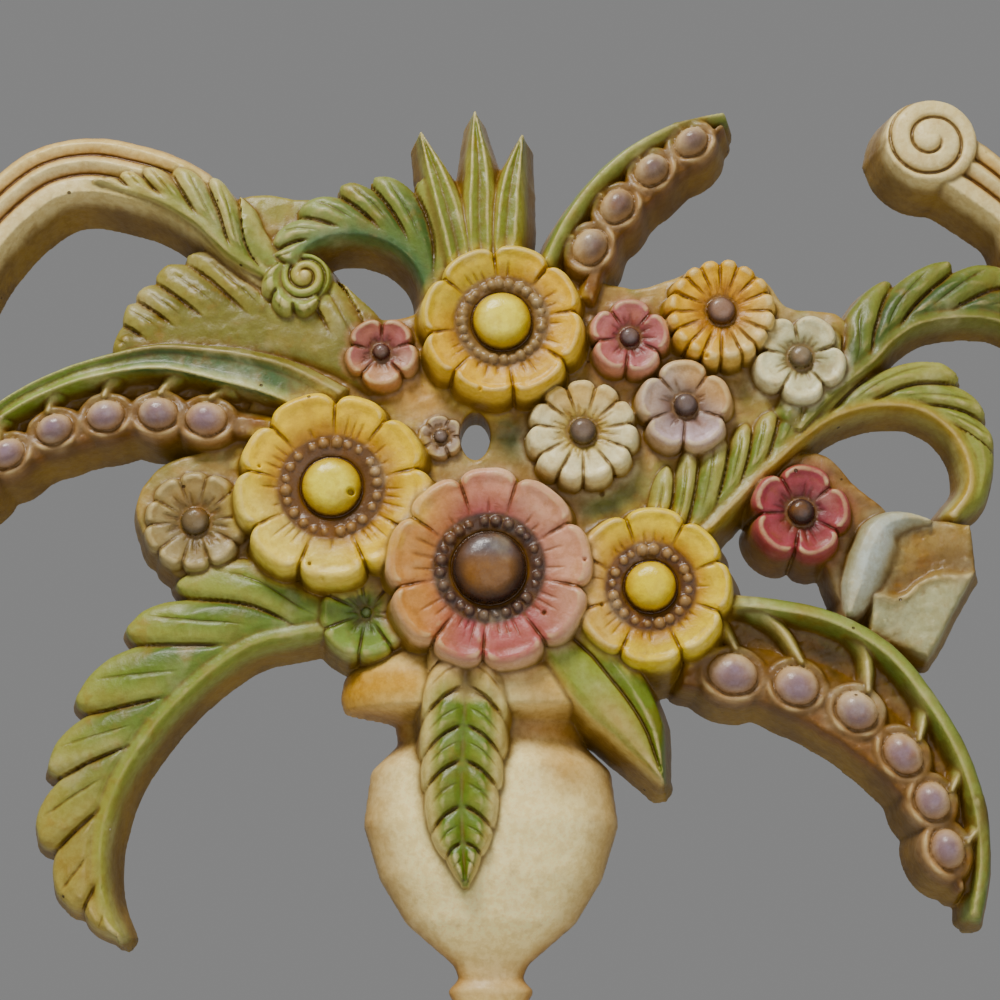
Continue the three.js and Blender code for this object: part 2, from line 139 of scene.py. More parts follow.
def spine_points(places, per_span=14):
    """A centripetal curve through [x, z] places, as closely spaced points."""
    p = np.array(places, float)
    p = np.vstack([2 * p[0] - p[1], p, 2 * p[-1] - p[-2]])
    out = []
    for i in range(1, len(p) - 2):
        a, b, c, d = p[i - 1:i + 3]
        t1 = max(np.linalg.norm(b - a), 1e-6) ** 0.5
        t2 = t1 + max(np.linalg.norm(c - b), 1e-6) ** 0.5
        t3 = t2 + max(np.linalg.norm(d - c), 1e-6) ** 0.5
        for t in np.linspace(t1, t2, per_span, endpoint=False):
            a1 = (t1 - t) / t1 * a + t / t1 * b
            a2 = (t2 - t) / (t2 - t1) * b + (t - t1) / (t2 - t1) * c
            a3 = (t3 - t) / (t3 - t2) * c + (t - t2) / (t3 - t2) * d
            b1 = (t2 - t) / t2 * a1 + t / t2 * a2
            b2 = (t3 - t) / (t3 - t1) * a2 + (t - t1) / (t3 - t1) * a3
            out.append((t2 - t) / (t2 - t1) * b1 + (t - t1) / (t2 - t1) * b2)
    out.append(p[-2])
    return np.array(out)


def on_spine(points, x, z):
    """Distance run along the points, signed offset to the left, and the whole length."""
    x, z = np.broadcast_arrays(x, z)
    best = np.full(x.shape, 1e12)
    run = np.zeros(x.shape)
    off = np.zeros(x.shape)
    start = 0.0
    last = len(points) - 2
    for i in range(last + 1):
        a = points[i]
        d = points[i + 1] - a
        length = math.hypot(*d)
        t = ((x - a[0]) * d[0] + (z - a[1]) * d[1]) / length ** 2
        low = -1e3 if i == 0 else 0.0
        high = 1e3 if i == last else 1.0
        t = np.clip(t, low, high)
        ex = x - a[0] - t * d[0]
        ez = z - a[1] - t * d[1]
        gap = ex * ex + ez * ez + (np.maximum(-t, 0) + np.maximum(t - 1, 0)) * length * 0.01
        side = np.sign(d[0] * ez - d[1] * ex)
        near = gap < best
        best = np.where(near, gap, best)
        run = np.where(near, start + t * length, run)
        off = np.where(near, side * np.hypot(ex, ez), off)
        start += length
    return run, off, start


# ---------------------------------------------------------------- paint

# Colours are red, green and blue from 0 to 255. A tint holds one colour for each place, in linear light.
CREAM = (226, 210, 158)
IVORY = (222, 204, 150)
AMBER = (150, 98, 36)
UMBER = (70, 46, 22)
BARK = (104, 72, 44)
LEAF = (112, 136, 42)
LILAC = (140, 116, 122)


def flat_tint(colour, like):
    return np.broadcast_to(srgb(*colour), np.shape(like) + (3,))


def brush(tint, colour, share):
    return mix(tint, srgb(*colour), share)


# ---------------------------------------------------------------- elements

# Each has a box in plan, form(x, z) giving (outline, depth, facts), paint(facts) giving (tint, wear)
# and lines(facts) giving two pairs of (signed distance to a carved line, strength). The outline is
# negative inside. Wear is how much of the paint may be rubbed off.

AIR_HOLES = [  # x, z and radius
    (-41.4, 19.6, 1.1), (-53.4, -1.9, 0.6), (-49.6, -6.4, 0.6), (27.9, -1.2, 0.6), (16, -17, 0.7),
    (34, 23, 0.7), (66, 64, 0.7), (-3, 52.5, 0.6), (-69, 28, 0.6), (33, -14, 0.6),
]


def no_lines(facts, name):
    blank = np.zeros(np.shape(facts[name]))
    return blank + FAR, blank, blank + FAR, blank


def box_round(points, margin):
    low = points.min(0) - margin
    high = points.max(0) + margin
    return low[0], high[0], low[1], high[1]


def box_about(at, margin):
    return at[0] - margin, at[0] + margin, at[1] - margin, at[1] + margin


def unevenness(x, z):
    """The hand-finished surface: a slow ripple, and the holes that air left in the casting."""
    rise = RIPPLE_RISE * RIPPLE(x, z)
    for at_x, at_z, radius in AIR_HOLES:
        rise = rise - HOLE_DEPTH * radius * np.exp(-(np.hypot(x - at_x, z - at_z) / radius) ** 4)
    return rise


# Notches and tapers make an outline steeper than true distance, so it is scaled down.
ROUND_SLOPE = 0.96
BAND_SLOPE = 0.92

BIG_RADIUS = 22  # flowers from this radius up have the full relief
BEAD_RADIUS = 1.75
COLLAR_DROP = 2.1  # the collar lies this far below the petals
STROKES = 5  # painted strokes across a petal, of which the outer two are left out
STROKE_GAP = 1 / STROKES
STREAKS = 4.3  # light and dark streaks across a petal
ROOT_DROP = 1.9  # how far a petal falls towards its root
RIM_ROLL = 0.6  # height of the rolled rim
EDGE_DROP = 1.5  # how far a petal falls beyond its rim
MOAT = 0.7  # depth of the groove round the boss
DOME_POWER = 3.2  # the higher, the flatter the boss
COLLAR_WEAR = 0.12  # hardly any paint is rubbed off there


class Flower:
    """A ring of petals round a domed boss, and round the boss of a large one a collar of stamens."""

    def __init__(self, at, radius, front, petals, boss, rise, look, stamens=None, notch=0.1, power=4,
                 turn=0, tilt=(0, 0), beads=0, crease=0.7, seam=1.3, dish=0.5, shown=1.0):
        self.at = at
        self.radius = radius
        self.front = front
        self.petals = petals
        self.boss = boss
        self.rise = rise
        self.look = look
        self.stamens = stamens or boss
        self.root = self.stamens + (2.2 if beads else 0.6)
        self.notch = notch
        self.power = power
        self.tilt = tilt
        self.beads = beads
        self.crease = crease
        self.seam = seam
        self.dish = dish
        self.shown = shown
        self.big = min(1.0, radius / BIG_RADIUS)
        edges = np.arange(petals + 1) + np.r_[0, rng.uniform(-0.1, 0.1, petals - 1), 0]
        self.edges = edges * 2 * math.pi / petals
        self.turn = math.radians(turn)
        self.length = rng.uniform(0.96, 1.0, petals)
        self.lift = rng.uniform(-0.6, 0.3, petals)
        self.bend = rng.uniform(-0.5, 0.5, petals)
        self.shade = rng.uniform(-1, 1, petals)
        self.sway = rng.uniform(-0.05, 0.05, petals)
        self.stroke_reach = np.zeros((STROKES, petals))
        self.stroke_reach[1:4] = rng.uniform(0.2, 0.65, (3, petals)) * (rng.random((3, petals)) < 0.75)
        self.bead_size = rng.uniform(0.7, 1.15, 64)
        self.bead_place = rng.uniform(-0.2, 0.2, 64)
        self.box = box_about(at, radius + DRAFT * front + 3)
        self.rounding = min(1.2, radius * 0.07)

    def petal_at(self, dx, dz, rho):
        angle = np.mod(np.arctan2(dz, dx) - self.turn, 2 * math.pi)
        petal = np.interp(angle, self.edges, np.arange(self.petals + 1))
        k = np.clip(petal.astype(int), 0, self.petals - 1)
        width = rho * 2 * math.pi / self.petals
        return angle, petal, k, petal - k, width

    def bead_bump(self, angle, rho):
        """Height of the ring of stamens over its collar."""
        if not self.beads:
            return np.zeros(np.shape(rho))
        turns = angle / (2 * math.pi) * self.beads
        j = turns.astype(int)
        aside = (turns - j - 0.5 - self.bead_place[j % 64]) * 2 * math.pi / self.beads * rho
        gap = np.hypot(aside, rho - self.stamens - 0.7 * self.bead_place[(j + 5) % 64])
        size = self.bead_size[(j + 13) % 64] * BEAD_RADIUS
        return np.sqrt(np.maximum(size ** 2 - gap ** 2, 0))

    def strokes(self, k, phase, width, t):
        """Signed distance to the nearest painted stroke, and its strength."""
        swayed = phase + self.sway[k] * np.sin(2 * math.pi * phase)
        half = STROKE_GAP / 2
        stroke = np.sin(math.pi * (swayed - half) / STROKE_GAP) * STROKE_GAP * width / math.pi
        which = np.clip(np.round((swayed - half) / STROKE_GAP).astype(int), 0, STROKES - 1)
        far = self.stroke_reach[which, k]
        return stroke, (1 - step(far * 0.6, far + 0.02, t)) * step(-0.02, 0.08, t) * (far > 0)

    def petal_depth(self, k, phase, off, line, t):
        """Dished petals with a rolled rim, parted by seams."""
        big = self.big
        depth = self.front + (self.lift[k] + self.bend[k] * (2 * phase - 1)) * step(0, 0.5, t) * big
        depth = depth - ROOT_DROP * big * (1 - step(0, 0.55, t))
        depth = depth + RIM_ROLL * big * dent(t - 0.84, 0.1) - EDGE_DROP * big * step(0.92, 1.15, t)
        depth = depth - self.dish * big * (1 - off ** 2) * step(0.15, 0.5, t) * (1 - step(0.6, 0.85, t))
        opening = 0.45 + 0.55 * step(0.1, 0.7, t)
        seam_width = (0.8 + 1.3 * t) * (0.5 + 0.5 * big)
        return depth - self.seam * opening * groove(line, seam_width) * step(-0.05, 0.1, t)

    def middle_depth(self, depth, bead, rho):
        """The collar, its stamens and the boss, with a moat round the boss."""
        big = self.big
        collar = self.front - COLLAR_DROP * big
        depth = np.where(rho < self.root, collar, depth)
        depth = np.maximum(depth, np.where(bead > 0, collar - 0.5 + bead * 1.1, 0))
        share = np.clip(rho / self.boss, 0, 1)
        dome = collar + (self.rise + COLLAR_DROP * big) * (1 - share ** DOME_POWER) ** 0.5
        depth = np.where(rho < self.boss, dome, depth)
        return depth - MOAT * big * dent(rho - self.boss - 0.5, 0.6)

    def form(self, x, z):
        dx = x - self.at[0]
        dz = z - self.at[1]
        rho = np.hypot(dx, dz)
        angle, petal, k, phase, width = self.petal_at(dx, dz, rho)
        off = np.abs(2 * phase - 1)
        line = np.sin(math.pi * petal) * width / math.pi
        reach = self.radius * self.length[k] * (1 - self.notch * off ** self.power)
        t = np.clip((rho - self.root) / (reach - self.root), 0, 1.2)
        stroke, stroke_strength = self.strokes(k, phase, width, t)
        bead = self.bead_bump(angle, rho)
        depth = self.petal_depth(k, phase, off, line, t)
        depth = depth - self.crease * 0.6 * groove(stroke, 0.9) * stroke_strength
        depth = self.middle_depth(depth, bead, rho)
        depth = depth + self.tilt[0] * dx + self.tilt[1] * dz
        facts = dict(rho=rho, t=t, k=k, off=off, line=line, bead=bead, dx=dx, dz=dz, petal=petal,
                     stroke=stroke, stroke_strength=stroke_strength)
        return (rho - reach) * ROUND_SLOPE, depth, facts

    def petal_paint(self, facts):
        """Deep at the root and the seams, pale at the rim, partly cream edge paint and partly a painted
        highlight, and tinted on the sides that are turned.
        """
        look = self.look
        t = facts["t"]
        shade = self.shade[facts["k"]]
        streak = 0.5 + 0.5 * np.sin(facts["petal"] * 2 * math.pi * STREAKS + shade * 5)
        ripe = step(0.0, 0.6, t + 0.08 * shade - 0.10 * streak * (1 - t))
        tint = brush(flat_tint(look["deep"], t), look["petal"], ripe)
        for direction, colour, share in look.get("turned", ()):
            angle = math.radians(direction)
            toward = (facts["dx"] * math.cos(angle) + facts["dz"] * math.sin(angle)) / self.radius
            tint = brush(tint, colour, step(0.15, 0.7, toward) * share)
        # the pale rim: cream edge paint, and partly a painted highlight where the rolled rim catches the
        # light
        tint = brush(tint, look["rim"], step(0.86, 1.02, t) * 0.65)
        tint = brush(tint, look["deep"], step(0.72, 1.0, facts["off"]) * (1 - step(0.7, 1.0, t)) * 0.3)
        return tint * (1 + 0.07 * shade)[..., None]

    def boss_paint(self, facts):
        look = self.look
        share = facts["rho"] / self.boss
        tint = brush(flat_tint(look["boss_edge"], share), look["boss"], 1 - step(0.5, 1.0, share))
        # painted highlight: the upper part of the boss takes a grey-blue reflection of the light above
        if "boss_highlight" in look:
            upper = step(0.0, 0.5, facts["dz"] / self.boss) * (1 - step(0.6, 0.95, share))
            tint = brush(tint, look["boss_highlight"], upper)
        return tint

    def paint(self, facts):
        rho = facts["rho"]
        tint = self.petal_paint(facts)
        tint = brush(tint, self.look["collar"], 1 - step(self.root - 0.5, self.root + 1.4, rho))
        tint = brush(tint, self.look["bead"], step(0.3, 1.2, facts["bead"]))
        in_boss = 1 - step(self.boss - 0.5, self.boss + 0.1, rho)
        tint = tint + (self.boss_paint(facts) - tint) * in_boss[..., None]
        return tint, np.where(rho < self.root, COLLAR_WEAR, 1.0)

    def lines(self, facts):
        rho = facts["rho"]
        in_collar = rho < self.root - 0.5
        from_boss = rho - self.boss - 0.3
        line = np.where(in_collar, from_boss, facts["line"])
        strength = np.where(in_collar, dent(from_boss, 1.0), step(0.0, 0.45, facts["t"]) * self.shown)
        return line, strength, facts["stroke"], facts["stroke_strength"] * 0.8


MOULDING_GROOVES = (0.32, 0.66)  # where they lie between the spine and the edge
MOULDING_CUT = 0.5  # their depth
LOBE_SWELL = 0.9  # rise of a lobe in its middle, and of its front over its back
LOBE_ROLL = 0.35  # height of a lobe's rolled edge
MIDLINE_CUT = 0.9  # depth of the groove along the pointed leaf


def terrace_place(u, signed):
    """How far past the slanting edge of the ribbon's raised end a place lies."""
    return u - 0.52 + 0.2 * signed + 0.04 * np.sin(5 * signed)


class Band:
    """A leaf, scroll, rib or floor that runs along a spine.

    left, right and crest give its reach to each side and its depth, evenly spaced along the spine. The
    section gives the rise over the crest from -1, the right edge, to 1, the left one.
    """

    def __init__(self, spine, left, right, crest, section, look, lobes=None, rib=0.0, moulded=False,
                 rough=0.0, rounding=1.3, wear=1.0, midline=None, terrace=0.0):
        self.points = spine_points(spine)
        self.left = along(left)
        self.right = along(right)
        self.crest = along(crest)
        self.section = np.array(section, float)
        self.look = look
        self.lobes = lobes
        self.rib = rib
        self.moulded = moulded
        self.rough = rough
        self.rounding = rounding
        self.wear = wear
        self.midline = midline
        self.terrace = terrace
        self.strength = rng.uniform(0.6, 1.0, 32)
        self.warp = rng.uniform(0, 6)
        self.box = box_round(self.points, max(max(left), max(right)) + DRAFT * max(crest) + 3)

    def lobes_at(self, run, away, reach, length, leftward):
        """Which lobe a place lies in, and the reach after the notches are cut."""
        lobes = self.lobes
        lobed = {"left": leftward, "right": ~leftward, "both": leftward | True}[lobes["side"]]
        share = np.clip(away / np.maximum(reach, 2), 0, 1.2)
        sweep = lobes["sweep"]
        bend = lobes["bend"]
        origin = run - sweep * away * (1 + bend * (1 - share))
        span = length * lobes["to"] / lobes["count"]
        place = origin / span
        place = place + 0.08 * np.sin(2.3 * place + self.warp)
        lobed = lobed & (place > lobes["first"]) & (place < lobes["count"])
        phase = place - np.floor(place)
        cut = lobes["notch"] * np.maximum(np.maximum(1 - phase / 0.5, (phase - 0.7) / 0.3), 0) ** 1.8
        reach = np.where(lobed, reach * (1 - cut), reach)
        width = span / np.hypot(1, sweep * (1 + bend * (1 - 2 * share)))
        return lobed, place, phase, width, reach

    def lobed_depth(self, depth, q, lobed, place, phase, width, facts):
        """Rounded lobes with a groove between each two, a crease along each and a rolled edge."""
        inner = self.lobes["inner"]
        deep = self.lobes["groove"] * self.strength[np.floor(place).astype(int) % 32]
        fade = step(inner, inner + 0.25, q) * lobed
        line = np.sin(math.pi * place) * width / math.pi
        fine = np.cos(math.pi * place) * width / math.pi
        fine_fade = step(inner + 0.08, inner + 0.3, q) * (1 - step(0.72, 0.95, q)) * lobed
        depth = depth + fade * (LOBE_SWELL * (phase - 0.5) + LOBE_SWELL * np.sin(math.pi * phase))
        depth = depth - deep * groove(line, 1.5 + 1.1 * q) * fade
        depth = depth - 0.5 * deep * groove(fine, 1.1) * fine_fade
        facts.update(line=line, strength=fade * (1 - 0.75 * step(0.8, 1.0, q)), fine=fine,
                     fine_strength=fine_fade * 0.8, phase=phase, lobed=fade)
        return depth + LOBE_ROLL * dent(q - 0.88, 0.09) * fade

    def trimmed_depth(self, depth, u, q, signed, off, reach, facts):
        """The rib, the moulding, the midline and the raised end, for a band that has them."""
        if self.rib:
            depth = depth + self.rib * dent(off, 1.5) - 0.5 * dent(np.abs(off) - 3.0, 0.9)
        if self.moulded:
            inner, outer = MOULDING_GROOVES
            line = np.where(q < (inner + outer) / 2, q - inner, outer - q) * reach
            facts.update(line=line, strength=np.zeros(np.shape(q)) + (signed < 0))
            depth = depth - MOULDING_CUT * groove(line, 1.0)
        if self.midline is not None:
            line = (signed - self.midline) * reach
            facts.update(line=line, strength=step(0.0, 0.1, u) * (1 - step(0.85, 1.0, u)))
            depth = depth - MIDLINE_CUT * groove(line, 1.4)
        if self.terrace:
            past = terrace_place(u, signed)
            depth = depth + self.terrace * (step(-0.05, 0.05, past) + 0.5 * dent(past - 0.04, 0.05))
        return depth

    def form(self, x, z):
        run, off, length = on_spine(self.points, x, z)
        u = run / length
        away = np.abs(off)
        leftward = off > 0
        reach = np.where(leftward, self.left(u), self.right(u))
        blank = np.zeros(np.shape(run))
        facts = dict(u=u, off=off, line=blank + FAR, strength=blank, fine=blank + FAR, fine_strength=blank,
                     phase=blank + 0.5, lobed=blank)
        if self.lobes:
            lobed, place, phase, width, reach = self.lobes_at(run, away, reach, length, leftward)
        q = np.clip(away / np.maximum(reach, 0.5), 0, 1.3)
        signed = np.where(leftward, q, -q)
        order = np.argsort(self.section[:, 0])
        depth = self.crest(u) + np.interp(signed, self.section[order, 0], self.section[order, 1])
        if self.lobes:
            depth = self.lobed_depth(depth, q, lobed, place, phase, width, facts)
        depth = self.trimmed_depth(depth, u, q, signed, off, reach, facts)
        depth = depth + self.rough * ROUGH(x, z)
        aside = away - reach
        beyond = np.maximum(-run, run - length)
        outline = np.minimum(np.maximum(aside, beyond), 0)
        outline = outline + np.hypot(np.maximum(aside, 0), np.maximum(beyond, 0))
        facts["q"] = q
        facts["signed"] = signed
        return outline * BAND_SLOPE, depth, facts

    def paint(self, facts):
        return self.look(facts), np.full(np.shape(facts["q"]), self.wear)

    def lines(self, facts):
        return facts["line"], facts["strength"], facts["fine"], facts["fine_strength"]


def leaf_look(base, light, dark, rib, tip=None, margin=None, first=None):
    """Leaf paint: dark at the back of each lobe, light on its ridge, a pale rib and margin."""
    edge = light if margin is None else margin
    edge_share = 0.6 if margin is None else 0.85

    def look(facts):
        lobed = facts["lobed"]
        tint = brush(flat_tint(base, lobed), dark, (1 - step(0.05, 0.55, facts["phase"])) * lobed * 0.85)
        tint = brush(tint, light, step(0.5, 0.9, facts["phase"]) * lobed * 0.7)
        tint = brush(tint, edge, step(0.55, 0.95, facts["q"]) * edge_share)
        if first is not None:
            tint = brush(tint, first, 1 - step(0.08, 0.24, facts["u"]))
        if tip is not None:
            tint = brush(tint, tip, step(0.5, 0.95, facts["u"]) * 0.8)
        return brush(tint, rib, dent(facts["off"], 2.0) * 0.75)
    return look


def plain_look(near, far, first, last=None):
    """Paint that runs from near the spine to the edge, and changes along it."""
    def look(facts):
        tint = brush(flat_tint(near, facts["q"]), far, step(0.2, 0.95, facts["q"]))
        tint = brush(tint, first, 1 - step(0.05, 0.4, facts["u"]))
        if last is not None:
            tint = brush(tint, last, step(0.6, 0.95, facts["u"]))
        return tint
    return look


def moulded_look(facts):
    """Ivory ridges with amber between them and along the outer edge."""
    q = np.maximum(-facts["signed"], 0)
    tint = brush(flat_tint(IVORY, q), (226, 196, 124), step(0.45, 0.8, q) * 0.6)
    for at in MOULDING_GROOVES:
        tint = brush(tint, AMBER, dent(q - at, 0.07) * 0.8)
    return brush(tint, AMBER, step(0.9, 1.0, q) * 0.6)


VOLUTE_TURNS = 2.1
VOLUTE_CUT = 1.8  # depth of the spiral
VOLUTE_FALL = 1.2  # how far the disc falls towards its edge


class Volute:
    """A disc with a spiral cut into it."""

    def __init__(self, at, radius, front, look, turn=0.0, way=1):
        self.at = at
        self.radius = radius
        self.front = front
        self.look = look
        self.turn = turn
        self.way = way
        self.rounding = 1.2
        self.box = box_about(at, radius + DRAFT * front + 3)

    def form(self, x, z):
        dx = x - self.at[0]
        dz = z - self.at[1]
        rho = np.hypot(dx, dz)
        pitch = self.radius / VOLUTE_TURNS
        turns = rho / pitch - self.way * np.arctan2(dz, dx) / (2 * math.pi) + self.turn
        line = np.abs(np.sin(math.pi * turns)) * pitch / math.pi
        depth = self.front - VOLUTE_CUT * groove(line, 1.4) * step(0.1, 0.3, rho / self.radius)
        depth = depth - VOLUTE_FALL * (rho / self.radius) ** 2 + 0.8 * dent(rho, self.radius * 0.25)
        return (rho - self.radius) * ROUND_SLOPE, depth, dict(rho=rho, line=line)

    def paint(self, facts):
        near, far = self.look
        rho = facts["rho"]
        return brush(flat_tint(near, rho), far, step(0.1, 0.9, rho / self.radius)), np.ones(np.shape(rho))

    def lines(self, facts):
        line, _, fine, none = no_lines(facts, "rho")
        return facts["line"], step(0.15, 0.3, facts["rho"] / self.radius), fine, none


POD_SUNK = 2.2  # the pod starts this far below the rim of its calyx
CALYX_WIDTH = 2.6
POD_WEAR = 0.1  # hardly any paint is rubbed off a pod
CALYX_WEAR = 0.8


class Pod:
    """An oval pod in a shallow calyx, longer along the spray."""

    front = 24.0
    rim = 20.0

    def __init__(self, at, radius, ahead, pod_side, colour):
        self.at = at
        self.pod_side = pod_side
        self.colour = colour
        self.radius = radius
        self.ahead = ahead
        self.stretch = rng.uniform(1.05, 1.16)
        self.shade = rng.uniform(-1, 1)
        self.rounding = 1.0
        self.box = box_about(at, radius * 1.2 + DRAFT * self.front + 7)

    def form(self, x, z):
        dx = x - self.at[0]
        dz = z - self.at[1]
        a = dx * self.ahead[0] + dz * self.ahead[1]
        b = dz * self.ahead[0] - dx * self.ahead[1]
        rho = np.hypot(a / self.stretch, b * 1.06)
        share = np.clip(rho / self.radius, 0, 1)
        dome = self.rim - POD_SUNK + (self.front - self.rim + POD_SUNK) * np.sqrt(1 - share ** 2.2)
        beyond = rho - self.radius
        outward = step(-0.7, 0.7, b * self.pod_side / self.radius)
        lip = self.rim - 1.4 + (0.5 + 0.9 * outward) * dent(beyond - 1.4, 1.3)
        lip = lip + 0.35 * np.sin(5 * np.arctan2(b, a) + self.shade * 3)
        depth = np.where(share < 1, np.maximum(dome, lip - 0.4), lip)
        facts = dict(rho=rho, share=share, beyond=beyond, outward=outward)
        return beyond - CALYX_WIDTH, depth, facts

    def paint(self, facts):
        share = facts["share"]
        pod = brush(flat_tint(self.colour, share), (190, 160, 120), step(0.55, 1.0, share) * 0.7)
        pod = brush(pod, (96, 84, 110), (1 - step(0.2, 0.8, share)) * 0.3) * (1 + 0.12 * self.shade)
        pod = brush(pod, (206, 178, 138), (1 - facts["outward"]) * step(0.1, 0.75, share) * 0.75)
        lip = brush(flat_tint((118, 92, 52), share), (178, 148, 108), facts["outward"])
        lip = brush(lip, (120, 90, 54), step(2.0, 3.4, facts["beyond"]))
        inside = 1 - step(-0.5, 0.4, facts["beyond"])
        return lip + (pod - lip) * inside[..., None], np.where(facts["beyond"] < 0.3, POD_WEAR, CALYX_WEAR)

    def lines(self, facts):
        _, _, fine, none = no_lines(facts, "rho")
        return facts["beyond"] - 0.3, dent(facts["beyond"], 1.2) * 0.3 * facts["outward"], fine, none


class Urn:
    """Half round, turned about an upright axis and flattened towards the wall."""

    lip = -36
    neck = -49
    shoulder = -60
    stem = -122

    def __init__(self, x, flatten, profile):
        self.x = x
        self.flatten = flatten
        profile = np.array(profile, float)
        widest = profile[:, 0].max() + 4
        self.lowest = profile[:, 1].min()
        self.box = (x - widest, x + widest, self.lowest - 2, profile[:, 1].max())
        self.levels = np.arange(self.lowest - 3, profile[:, 1].max() + 3, 0.25)
        order = np.argsort(profile[:, 1])
        radii = np.interp(self.levels, profile[order, 1], profile[order, 0])
        kernel = np.hanning(17)
        self.radii = np.convolve(np.pad(radii, 8, "edge"), kernel / kernel.sum(), "valid")
        self.rounding = 1.0

    def form(self, x, z):
        radius = np.interp(z, self.levels, self.radii)
        slope = np.interp(z, self.levels, np.gradient(self.radii, self.levels))
        across = (x - self.x) / np.maximum(radius, 1)
        depth = radius * self.flatten * np.maximum(1 - across ** 2, 0) ** 0.42
        steep = np.hypot(1, np.minimum(np.abs(slope), 3))
        outline = np.maximum(np.abs(x - self.x) - radius, self.lowest - z) / steep
        return outline, depth, dict(across=across, z=z + 0 * x)

    def paint(self, facts):
        z = facts["z"]
        across = facts["across"]
        aside = np.abs(across)
        tint = brush(flat_tint((255, 238, 176), z), AMBER, step(0.6, 1.0, aside) * 0.6)
        # painted shade: the neck under the overhanging lip is painted a darker amber
        tint = brush(tint, AMBER, dent(z - self.neck, 5) * 0.85)
        tint = brush(tint, (196, 146, 58), dent(z - self.lip, 9) * step(-0.2, 0.6, aside) * 0.9)
        tint = brush(tint, (176, 128, 54), dent(across - 0.62, 0.22) * dent(z - self.shoulder, 9) * 0.7)
        return brush(tint, AMBER, dent(z - self.stem, 9) * 0.6), np.ones(np.shape(z))

    def lines(self, facts):
        return no_lines(facts, "z")


GROUND_WEAR = 0.5


class Plate:
    """A low ground inside a smooth closed line."""

    rough = 0.35

    def __init__(self, outline, depth, look, patches=()):
        places = [*outline[-2:], *outline, *outline[:2]]
        points = spine_points(places, 8)
        first = np.argmin(np.hypot(*(points - outline[0]).T))
        last = len(points) - 1 - np.argmin(np.hypot(*(points[::-1] - outline[0]).T))
        self.loop = points[first:max(last, first + 8)]
        self.depth = depth
        self.look = look
        self.patches = patches
        self.rounding = 1.6
        self.box = box_round(self.loop, DRAFT * depth + 4)

    def form(self, x, z):
        x, z = np.broadcast_arrays(x, z)
        best = np.full(x.shape, 1e12)
        inside = np.zeros(x.shape, bool)
        for a, b in zip(self.loop, np.roll(self.loop, -1, 0)):
            d = b - a
            t = np.clip(((x - a[0]) * d[0] + (z - a[1]) * d[1]) / max(d @ d, 1e-9), 0, 1)
            best = np.minimum(best, (x - a[0] - t * d[0]) ** 2 + (z - a[1] - t * d[1]) ** 2)
            if a[1] != b[1]:
                meets = (b[0] - a[0]) * (z - a[1]) / (b[1] - a[1]) + a[0]
                inside ^= ((a[1] > z) != (b[1] > z)) & (x < meets)
        gap = np.sqrt(best)
        outline = np.where(inside, -gap, gap)
        depth = self.depth + self.rough * (RIPPLE(x, z) * 1.6 + ROUGH(x, z) * 0.5)
        return outline, depth, dict(x=x, z=z)

    def paint(self, facts):
        x = facts["x"]
        z = facts["z"]
        tint = brush(flat_tint(self.look[0], x), self.look[1], step(-0.15, 0.3, RIPPLE(z, x)))
        for at, size, colour in self.patches:
            tint = brush(tint, colour, dent(np.hypot(x - at[0], z - at[1]), size) * 0.9)
        return tint, np.full(np.shape(x), GROUND_WEAR)

    def lines(self, facts):
        return no_lines(facts, "x")


# ---------------------------------------------------------------- the bouquet

YELLOW = dict(
    deep=(178, 128, 36), petal=(228, 188, 18), rim=(234, 212, 112), collar=(94, 68, 44), bead=(150, 118, 80),
    boss=(236, 222, 98), boss_edge=(180, 150, 50), turned=((232, (232, 222, 140), 0.5),))
YELLOW_TOP = dict(
    YELLOW, petal=(218, 172, 56), collar=(116, 92, 62), bead=(142, 118, 82),
    turned=((125, (176, 170, 74), 0.5),))
YELLOW_RIGHT = dict(
    YELLOW, petal=(224, 192, 24), boss=(228, 204, 50), boss_edge=(190, 156, 40), collar=(80, 54, 36),
    turned=((185, (206, 166, 96), 0.8),))
PINK = dict(
    deep=(152, 82, 80), petal=(184, 124, 104), rim=(228, 198, 162), collar=(60, 42, 36), bead=(84, 62, 56),
    # the grey-blue on top of the boss is a painted highlight
    boss=(122, 88, 56), boss_edge=(44, 32, 28), boss_highlight=(92, 86, 90),
    turned=((268, (152, 72, 78), 0.7), (176, (200, 148, 76), 0.7), (20, (206, 162, 130), 0.5)))
DAISY = dict(
    deep=(196, 136, 44), petal=(218, 168, 60), rim=(226, 192, 110), collar=(120, 84, 40), bead=BARK,
    boss=(140, 112, 96), boss_edge=(62, 46, 42), turned=((-40, CREAM, 0.5),))
CREAM_DAISY = dict(
    deep=(180, 158, 88), petal=(224, 214, 168), rim=(228, 222, 180), collar=(128, 110, 66), bead=BARK,
    boss=(108, 92, 80), boss_edge=(58, 48, 42), turned=((90, (196, 158, 84), 0.8),))
DARK_RED = dict(
    deep=(110, 58, 60), petal=(148, 90, 86), rim=(196, 152, 110), collar=(92, 44, 42), bead=BARK,
    boss=(90, 66, 64), boss_edge=(52, 36, 36), turned=((265, (206, 164, 112), 0.55),))
RED_ROSE = dict(
    deep=(130, 68, 70), petal=(170, 104, 104), rim=(206, 158, 134), collar=(102, 58, 54), bead=BARK,
    boss=(100, 84, 86), boss_edge=(58, 44, 44))
MAUVE_LOOK = dict(
    deep=(122, 100, 92), petal=(174, 152, 138), rim=(206, 180, 140), collar=(98, 78, 66), bead=BARK,
    boss=(104, 90, 88), boss_edge=(60, 48, 46),
    turned=((275, (190, 166, 176), 0.7), (50, (202, 158, 92), 0.7)))
WHITE_LOOK = dict(
    deep=(150, 144, 102), petal=(214, 210, 168), rim=(228, 222, 184), collar=(120, 110, 76), bead=BARK,
    boss=(126, 112, 92), boss_edge=(84, 72, 56))
